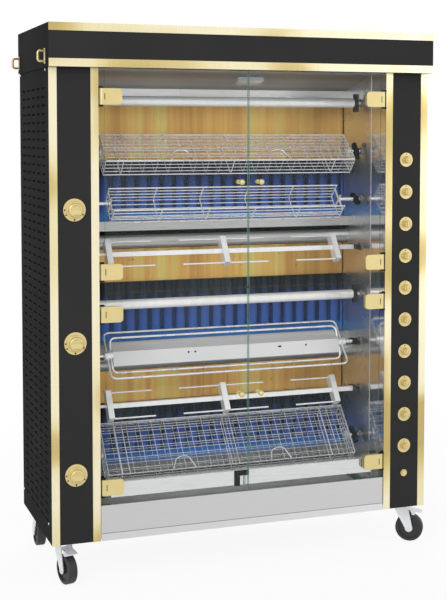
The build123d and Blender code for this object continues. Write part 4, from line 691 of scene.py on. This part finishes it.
def mesh_basket(number, tilt, shift, width, height, turn, pitch):
    """Wire basket with its hinged lid, in place of the plain grids."""
    z = SPIT_Z[number - 1]
    body = f"spit_{number}"
    lid_body = f"spit_{number}_lid"
    section = Section(z, tilt, shift)
    side = width / 2 - FRAME_R
    low = -height / 2 + FRAME_R
    rim = height / 2 - 0.0054
    lid = height / 2 - 0.0015
    axis = width / 2 - 0.0015
    half = BASKET - FRAME_R

    def frame_rods(bm):
        for x in (-half, *PAIRS_X, half):
            section.hoop(bm, x, side, low, rim, 0.012, FRAME_R)
        for across, up in ((-side, low), (side, low), (-side, rim), (side, rim)):
            section.rod(bm, half, across, up, RIM_R)
        for x in (-half, half):
            section.wire(bm, x, (-side, rim), (side, rim), RIM_R)
            for across in steps(-side, side, END_PITCH)[1:-1]:
                section.wire(bm, x, (across, low), (across, rim), END_R, 6)
            for up in steps(low, rim, SIDE_PITCH)[1:-1]:
                section.wire(bm, x, (-side, up), (side, up), END_R, 6)
        for x in EYES_X:
            coil = []
            for k in range(17):
                turn = 2 * math.pi * k / 8
                coil.append(section.at(x + 0.0012 * (k / 8 - 1), axis + EYE_R * math.cos(turn),
                                       lid + EYE_R * math.sin(turn)))
            tube(bm, coil, 0.0010, sides=6)
        spit_ends(bm, z, BASKET, 0.018)

    def fine_wires(bm):
        for x in steps(-half, half, CROSS_PITCH)[1:-1]:
            section.hoop(bm, x, side - 0.002, low + 0.002, rim, 0.010, 0.0008, arc=3, sides=6)
        for up in steps(low, rim, SIDE_PITCH)[1:-1]:
            section.rod(bm, half, -side, up, 0.0014, 6)
            section.rod(bm, half, side, up, 0.0011, 6)
        for across in steps(-side, side, 2 * pitch)[1:-1]:
            section.rod(bm, half, across, low, 0.0012, 6)

    def lid_wires(bm):
        section.rod(bm, BASKET, axis, lid, 0.0015, 12)
        section.rod(bm, half, axis - 0.007, lid, END_R)
        corners = [section.at(x, across, lid)
                   for x, across in ((-half, axis), (-half, -side), (half, -side), (half, axis))]
        tube(bm, rounded(corners, 0.010, closed=False), 0.0017)
        for x in steps(-half, half, CROSS_PITCH)[1:-1]:
            section.wire(bm, x, (-side, lid), (axis - 0.004, lid), 0.0009, 6)
        for across in steps(-side, axis, pitch)[1:-1]:
            section.rod(bm, half, across, lid, END_R, 6)
        top = lid + 0.0006
        for x in PAIRS_X:
            for step in (-PAIR_HALF, PAIR_HALF):
                section.wire(bm, x + step, (-side, top), (axis - 0.005, top), 0.0014)
        for x in HANDLES_X:
            handle = [(x - 0.040, -side), (x - 0.026, -side + 0.042), (x + 0.018, -side + 0.048),
                      (x + 0.040, -side)]
            corners = [section.at(u, v, lid + 0.0042) for u, v in handle]
            tube(bm, rounded(corners, 0.016, closed=False), 0.0020)

    frame_piece = add_mesh(f"basket_{number}_frame", frame_rods, CHROME, body)
    add_mesh(f"basket_{number}_wires", fine_wires, CHROME, body)
    lid_piece = add_mesh(f"basket_{number}_lid", lid_wires, CHROME, lid_body)
    cross_bar(f"basket_{number}_cross_bar", z, turn, body)
    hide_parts(f"spit_{number}_basket")
    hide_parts(f"spit_{number}_lid")


mesh_basket(2, 42.3, -0.0084, 0.133, 0.070, 60, 0.0165)
mesh_basket(8, 48.9, 0.0122, 0.201, 0.060, 45, 0.0205)


def wire_cradle():
    """Open cradle of round wires on six square frames."""
    z = SPIT_Z[2]
    section = Section(z, 46.6)
    r = 0.0019
    side = 0.103 / 2 - r            # its width and height over the wires
    axis = 0.0526 - 0.103 / 2       # spit's axis from the middle of the width
    roof = 0.0235 - r               # top wires above that axis, and the bottom wires
    floor = roof - (0.068 - 2 * r)
    half = LOAD - 0.016

    def at(x, across, up):
        return section.at(x, across - axis, up)

    def line(bm, start, end, radius):
        tube(bm, [at(*start), at(*end)], radius)

    def build(bm):
        ends = (-half + 0.002, half - 0.002)
        for x in steps(*ends, 0.172):
            corners = [at(x, -side, roof), at(x, -side, floor), at(x, side, floor), at(x, side, roof)]
            tube(bm, rounded(corners, 0.010, closed=False), 0.0022)
        for up in steps(roof, floor, -SIDE_PITCH):
            radius = 0.0026 if up == roof else 0.0020
            for across in (-side, side):
                line(bm, (-half, across, up), (half, across, up), radius)
        for across in steps(-side, side, 0.0200)[1:-1]:
            line(bm, (-half, across, floor), (half, across, floor), 0.0018)
        for x in ends:
            line(bm, (x, -side, 0), (x, side, 0), 0.0038)
            line(bm, (x, axis, roof), (x, axis, floor), 0.0034)
        spit_ends(bm, z, half, 0.009)

    piece = add_mesh("cradle_wires", build, CHROME, "spit_3")
    cross_bar("cradle_cross_bar", z, 30, "spit_3")
    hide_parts("spit_3_cradle")


wire_cradle()


def wire_rack():
    """Two rod loops with the folded sheet between their clamps."""
    z = SPIT_Z[5]
    clamp = (LOAD - 0.022, LOAD + 0.008)

    def loop(bm, half_height, half_length, tilt):
        section = Section(z, tilt)
        corners = [section.at(u * (half_length - 0.004), v * (half_height - 0.004), 0)
                   for u, v in ((-1, -1), (1, -1), (1, 1), (-1, 1))]
        tube(bm, rounded(corners, 0.022, arc=8), 0.0038, closed=True, sides=12)

    def loops(bm):
        loop(bm, 0.096, LOAD, 49.0)
        loop(bm, 0.066, LOAD - 0.014, 66.0)
        for side in (-1, 1):
            left, right = mirrored(side, *clamp)
            shaft(bm, z, [(left, 0.0145), (left + 0.0015, 0.016), (right - 0.0015, 0.016), (right, 0.0145)])
        shaft(bm, z, [(SPIT_LEFT, JOURNAL_R), (-clamp[1], JOURNAL_R)], 24)
        shaft(bm, z, [(clamp[1], NECK_R), (GRIP, NECK_R)], 24)
        shaft(bm, z, [(GRIP + GRIP_T, JOURNAL_R), (SPIT_RIGHT, JOURNAL_R)], 24)

    def sheet(bm):
        folds = [(0.030, 0.040), (-0.010, 0.014), (-0.020, -0.034)]
        front = [Vector((0, SPIT_Y + y, z + h)) for y, h in folds]
        rear = [p + Vector((0, 0.002, 0.001)) for p in front]
        for a0, a1, b0, b1 in zip(front, front[1:], rear, rear[1:]):
            left, right = ([bm.verts.new(p + Vector((x, 0, 0))) for p in (a0, a1, b1, b0)]
                           for x in (-clamp[0], clamp[0]))
            bm.faces.new(left)
            bm.faces.new(list(reversed(right)))
            for k in range(4):
                bm.faces.new((left[k], right[k], right[(k + 1) % 4], left[(k + 1) % 4]))
        bmesh.ops.remove_doubles(bm, verts=bm.verts, dist=1e-5)

    def painted_hole_shades(bm):
        # painted shade: black discs on the sheet stand for its holes
        disc = [(-0.0012, 0.0035), (0.0004, 0.0035)]
        for x in (-0.153, -0.128, 0.190, 0.196, 0.296):
            lathe(bm, (x, SPIT_Y - 0.0135, z - 0.001), (0, -1, 0.2), disc, 16)

    piece = add_mesh("rack_loops", loops, CHROME, "spit_6")
    add_mesh("rack_sheet", sheet, SHEET, "spit_6", smooth=False)
    add_mesh("rack_sheet_hole_shades", painted_hole_shades, BLACK, "spit_6")
    cross_bar("rack_cross_bar", z, 0, "spit_6")
    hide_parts("spit_6_rack")


wire_rack()


# Controls


def turned_knob(name, centre, profile, sides, spindle, detail, grips, bevel):
    """Turned knob on its spindle with raised grips, in place of the plain one.

    profile is a list of (distance from the seat, radius), spindle is (length, radius, sides), and
    each grip is (half width, its front, its root, its low end, its top end).
    """
    x, seat, z = centre

    def build(bm):
        length, radius, spindle_sides = spindle
        lathe(bm, centre, (0, -1, 0), profile, sides)
        lathe(bm, centre, (0, 1, 0), [(0.0, radius), (length, radius)], spindle_sides)

    def raised(bm):
        for half, out, root, low, high in grips:
            brick(bm, (x - half, seat - out, z + low), (x + half, seat - root, z + high))

    piece = add_mesh(f"{name}_turned", build, FITTINGS, name)
    add_mesh(f"{name}_{detail}", raised, FITTINGS, name, bevel=bevel)
    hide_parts(name)


# Dished tap knobs: skirt, grip disc and a half-moon recess over a straight bar
GAS_PROFILE = [(0.0, 0.0272), (0.0012, 0.028), (0.0048, 0.028), (0.006, 0.0268), (0.006, 0.0236),
               (0.0165, 0.0226), (0.0190, 0.0212), (0.0200, 0.0190), (0.0200, 0.0176),
               (0.0160, 0.0168)]
GAS_GRIPS = ((0.0172, 0.0196, 0.0150, -0.0145, 0.0025), (0.0008, 0.0200, 0.0155, 0.0080, 0.0165))
for index, z in enumerate(MODULE_Z, 1):
    turned_knob(f"gas_knob_{index}", (-KNOB_X, GAS_SEAT, z), GAS_PROFILE, 64, (0.0225, 0.004975, 24),
                "bar", GAS_GRIPS, 0.0012)

# Small switch knobs with a raised pointer
SWITCH_PROFILE = [(0.0, 0.0135), (0.001, 0.014), (0.004, 0.014), (0.005, 0.0133), (0.005, 0.012),
                  (0.0150, 0.0116), (0.0165, 0.0108), (0.017, 0.0095), (0.017, 0.0080),
                  (0.0155, 0.0076)]
SWITCH_GRIPS = ((0.003, 0.0200, 0.0150, -0.008, 0.0105),)
for index, z in enumerate(SWITCH_Z, 1):
    turned_knob(f"switch_knob_{index}", (KNOB_X, SWITCH_SEAT, z), SWITCH_PROFILE, 48, (0.022, 0.00295, 16),
                "pointer", SWITCH_GRIPS, 0.0010)


def bezel_marks(bm):
    """Dark marks on the bezels: four round each gas knob, one over each switch."""
    thin = (-0.0006, 0.0002)
    sink = 0.0004
    ring_radius = 0.0322

    def mark(x, seat, z, size):
        lathe(bm, (x, seat + sink, z), (0, -1, 0), [(depth, size) for depth in thin], 16)

    for z in MODULE_Z:
        for clock, size in ((9, 0.0026), (8, 0.0026), (6, 0.0030), (4, 0.0026)):
            turn = math.radians(90 - 30 * clock)
            mark(-KNOB_X + ring_radius * math.cos(turn), GAS_SEAT, z + ring_radius * math.sin(turn), size)
    for z in SWITCH_Z:
        mark(KNOB_X, SWITCH_SEAT, z + 0.0195, 0.0019)


add_mesh("bezel_marks", bezel_marks, BLACK, "cabinet")


# Doors: black strips as painted shade in the slot of each hinge block, and the ground edges of the glass
# along the middle joint

HINGE_Z = {"lower": (0.328, 0.904), "upper": (1.044, 1.617)}


def hinge_slot_shades(level, side_name, side):
    x = side * (HINGE_X - 0.008)

    def build(bm):
        # painted shade: a thin black strip stands for the dark inside of each slot
        for z in HINGE_Z[level]:
            brick(bm, (x - 0.0013, FRONT - 0.0084, z - 0.0105), (x + 0.0013, FRONT - 0.0070, z + 0.0105))

    add_mesh(f"hinge_slot_shades_{level}_{side_name}", build, BLACK, f"door_{level}_{side_name}",
             bevel=0.0004)


for level in ("lower", "upper"):
    for side_name, side in SIDES:
        hinge_slot_shades(level, side_name, side)


# Steel angles on the columns under the lowest hinges


def door_angles(bm):
    low, high = 0.2640, 0.3000
    back = FRONT + 0.0120
    for side in (-1, 1):
        x0, x1 = mirrored(side, INNER - 0.0385, INNER - 0.0004)
        brick(bm, (x0, back - 0.0015, low), (x1, back, high))
        x0, x1 = mirrored(side, INNER - 0.0019, INNER - 0.0004)
        brick(bm, (x0, FRONT + 0.0030, low), (x1, back, high))


add_mesh("door_angles", door_angles, BRACKET, "cabinet", smooth=False, bevel=0.0003)


def ground_edge(level, side_name, side):
    """Thin line on the front of the glass, along its edge at the middle."""
    low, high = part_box(f"door_glass_{level}_{side_name}")
    edge = high[0] if side < 0 else low[0]

    def build(bm):
        x0, x1 = sorted((edge + side * 0.0003, edge + side * 0.0025))
        brick(bm, (x0, low[1] - 0.00015, low[2] + 0.002), (x1, low[1] + 0.0001, high[2] - 0.002))

    add_mesh(f"ground_edge_{level}_{side_name}", build, EDGE, f"door_{level}_{side_name}",
             smooth=False)


for level in ("lower", "upper"):
    for side_name, side in SIDES:
        ground_edge(level, side_name, side)


# Painted shadow: a dark strip over the tray's lip


def tray_shadow_line(bm):
    low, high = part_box("drip_tray")
    # painted shadow along the top of the lip
    brick(bm, (low[0] + 0.002, FRONT - 0.0003, TRAY_LIP),
          (high[0] - 0.002, FRONT + 0.0002, TRAY_LIP + 0.0016))


add_mesh("tray_shadow_line", tray_shadow_line, BRACKET, "drip_tray", smooth=False)


# Painted shade: near-black sheets behind the slots of the side panels


def slot_shade_sheet(side_name, side):
    x0, x1 = mirrored(side, HALF_W - 0.0042, HALF_W - 0.0034)
    margin = 0.012

    def build(bm):
        brick(bm, (x0, FRONT + margin, BOTTOM + margin), (x1, BACK - margin, HEADER_Z - margin))

    add_mesh(f"slot_shade_sheet_{side_name}", build, SLOT_SHADE, "cabinet", smooth=False)


for side_name, side in SIDES:
    slot_shade_sheet(side_name, side)


# Screws in the side panels, and folded seams on the inner walls


def screw_heads(bm):
    head = [(-0.001, 0.0042), (0.0006, 0.0042), (0.0016, 0.0030)]
    for side in (-1, 1):
        for y in (FRONT + 0.051, FRONT + 0.489):
            for z in (1.703, 0.210):
                lathe(bm, (side * HALF_W, y, z), (side, 0, 0), head, 20)


def wall_seams(bm):
    for side in (-1, 1):
        x0, x1 = mirrored(side, INNER - 0.0012, INNER)
        brick(bm, (x0, FRONT + 0.1140, 0.200), (x1, FRONT + 0.1165, HEADER_Z - 0.002))


add_mesh("side_screws", screw_heads, ZINC, "cabinet")
add_mesh("wall_seams", wall_seams, SEAM, "cabinet", smooth=False)


# Studio: pale floor, white surroundings and soft lights


def make_floor():
    """Matt floor that also glows for the rays that show it, fully so away from the object."""
    data = bpy.data.meshes.new("floor")
    size = 14
    data.from_pydata([(-size, -size, 0), (size, -size, 0), (size, size, 0), (-size, size, 0)], [],
                     [(0, 1, 2, 3)])
    floor = bpy.data.objects.new("floor", data)
    bpy.context.scene.collection.objects.link(floor)
    mat, shader, g = new_material("floor", grey(0.95), 0.0, 0.9, 0.1)
    glow = g.node("ShaderNodeEmission", {"Color": (1, 1, 1, 1), "Strength": 1.0})
    away = g.node("ShaderNodeVectorMath", {0: g.place()}, operation="LENGTH").outputs["Value"]
    share = g.times(g.seen(), g.span(away, 1.0, 3.2, 0.90, 1.0))
    blend = g.node("ShaderNodeMixShader", {0: share, 1: shader.outputs[0], 2: glow.outputs[0]})
    g.put(mat.node_tree.nodes["Material Output"].inputs["Surface"], blend.outputs[0])
    data.materials.append(mat)


make_floor()


def make_world():
    """White for the rays that show it, softer as light on the object."""
    world = bpy.data.worlds.new("studio")
    bpy.context.scene.world = world
    world.use_nodes = True
    g = Graph(world)
    light = world.node_tree.nodes["Background"]
    g.fill(light, {"Color": (1, 1, 1, 1), "Strength": 0.62})
    white = g.node("ShaderNodeBackground", {"Color": (1, 1, 1, 1), "Strength": 1.0})
    blend = g.node("ShaderNodeMixShader", {0: g.seen(), 1: light.outputs[0], 2: white.outputs[0]})
    g.put(world.node_tree.nodes["World Output"].inputs["Surface"], blend.outputs[0])


make_world()


def softbox(name, place, aim, size, power):
    data = bpy.data.lights.new(name, "AREA")
    data.shape = "RECTANGLE"
    data.size, data.size_y = size
    data.energy = power
    lamp = bpy.data.objects.new(name, data)
    bpy.context.scene.collection.objects.link(lamp)
    lamp.location = place
    lamp.rotation_euler = (Vector(aim) - Vector(place)).to_track_quat("-Z", "Y").to_euler()


softbox("key_light", (-3.0, -3.6, 3.2), (0, 0, 1.0), (2.6, 2.6), 85)
softbox("fill_light", (3.4, -3.2, 1.8), (0, 0, 0.9), (2.4, 2.8), 26)
softbox("back_light", (0.5, 3.2, 3.4), (0, 0, 1.2), (3.0, 2.0), 40)
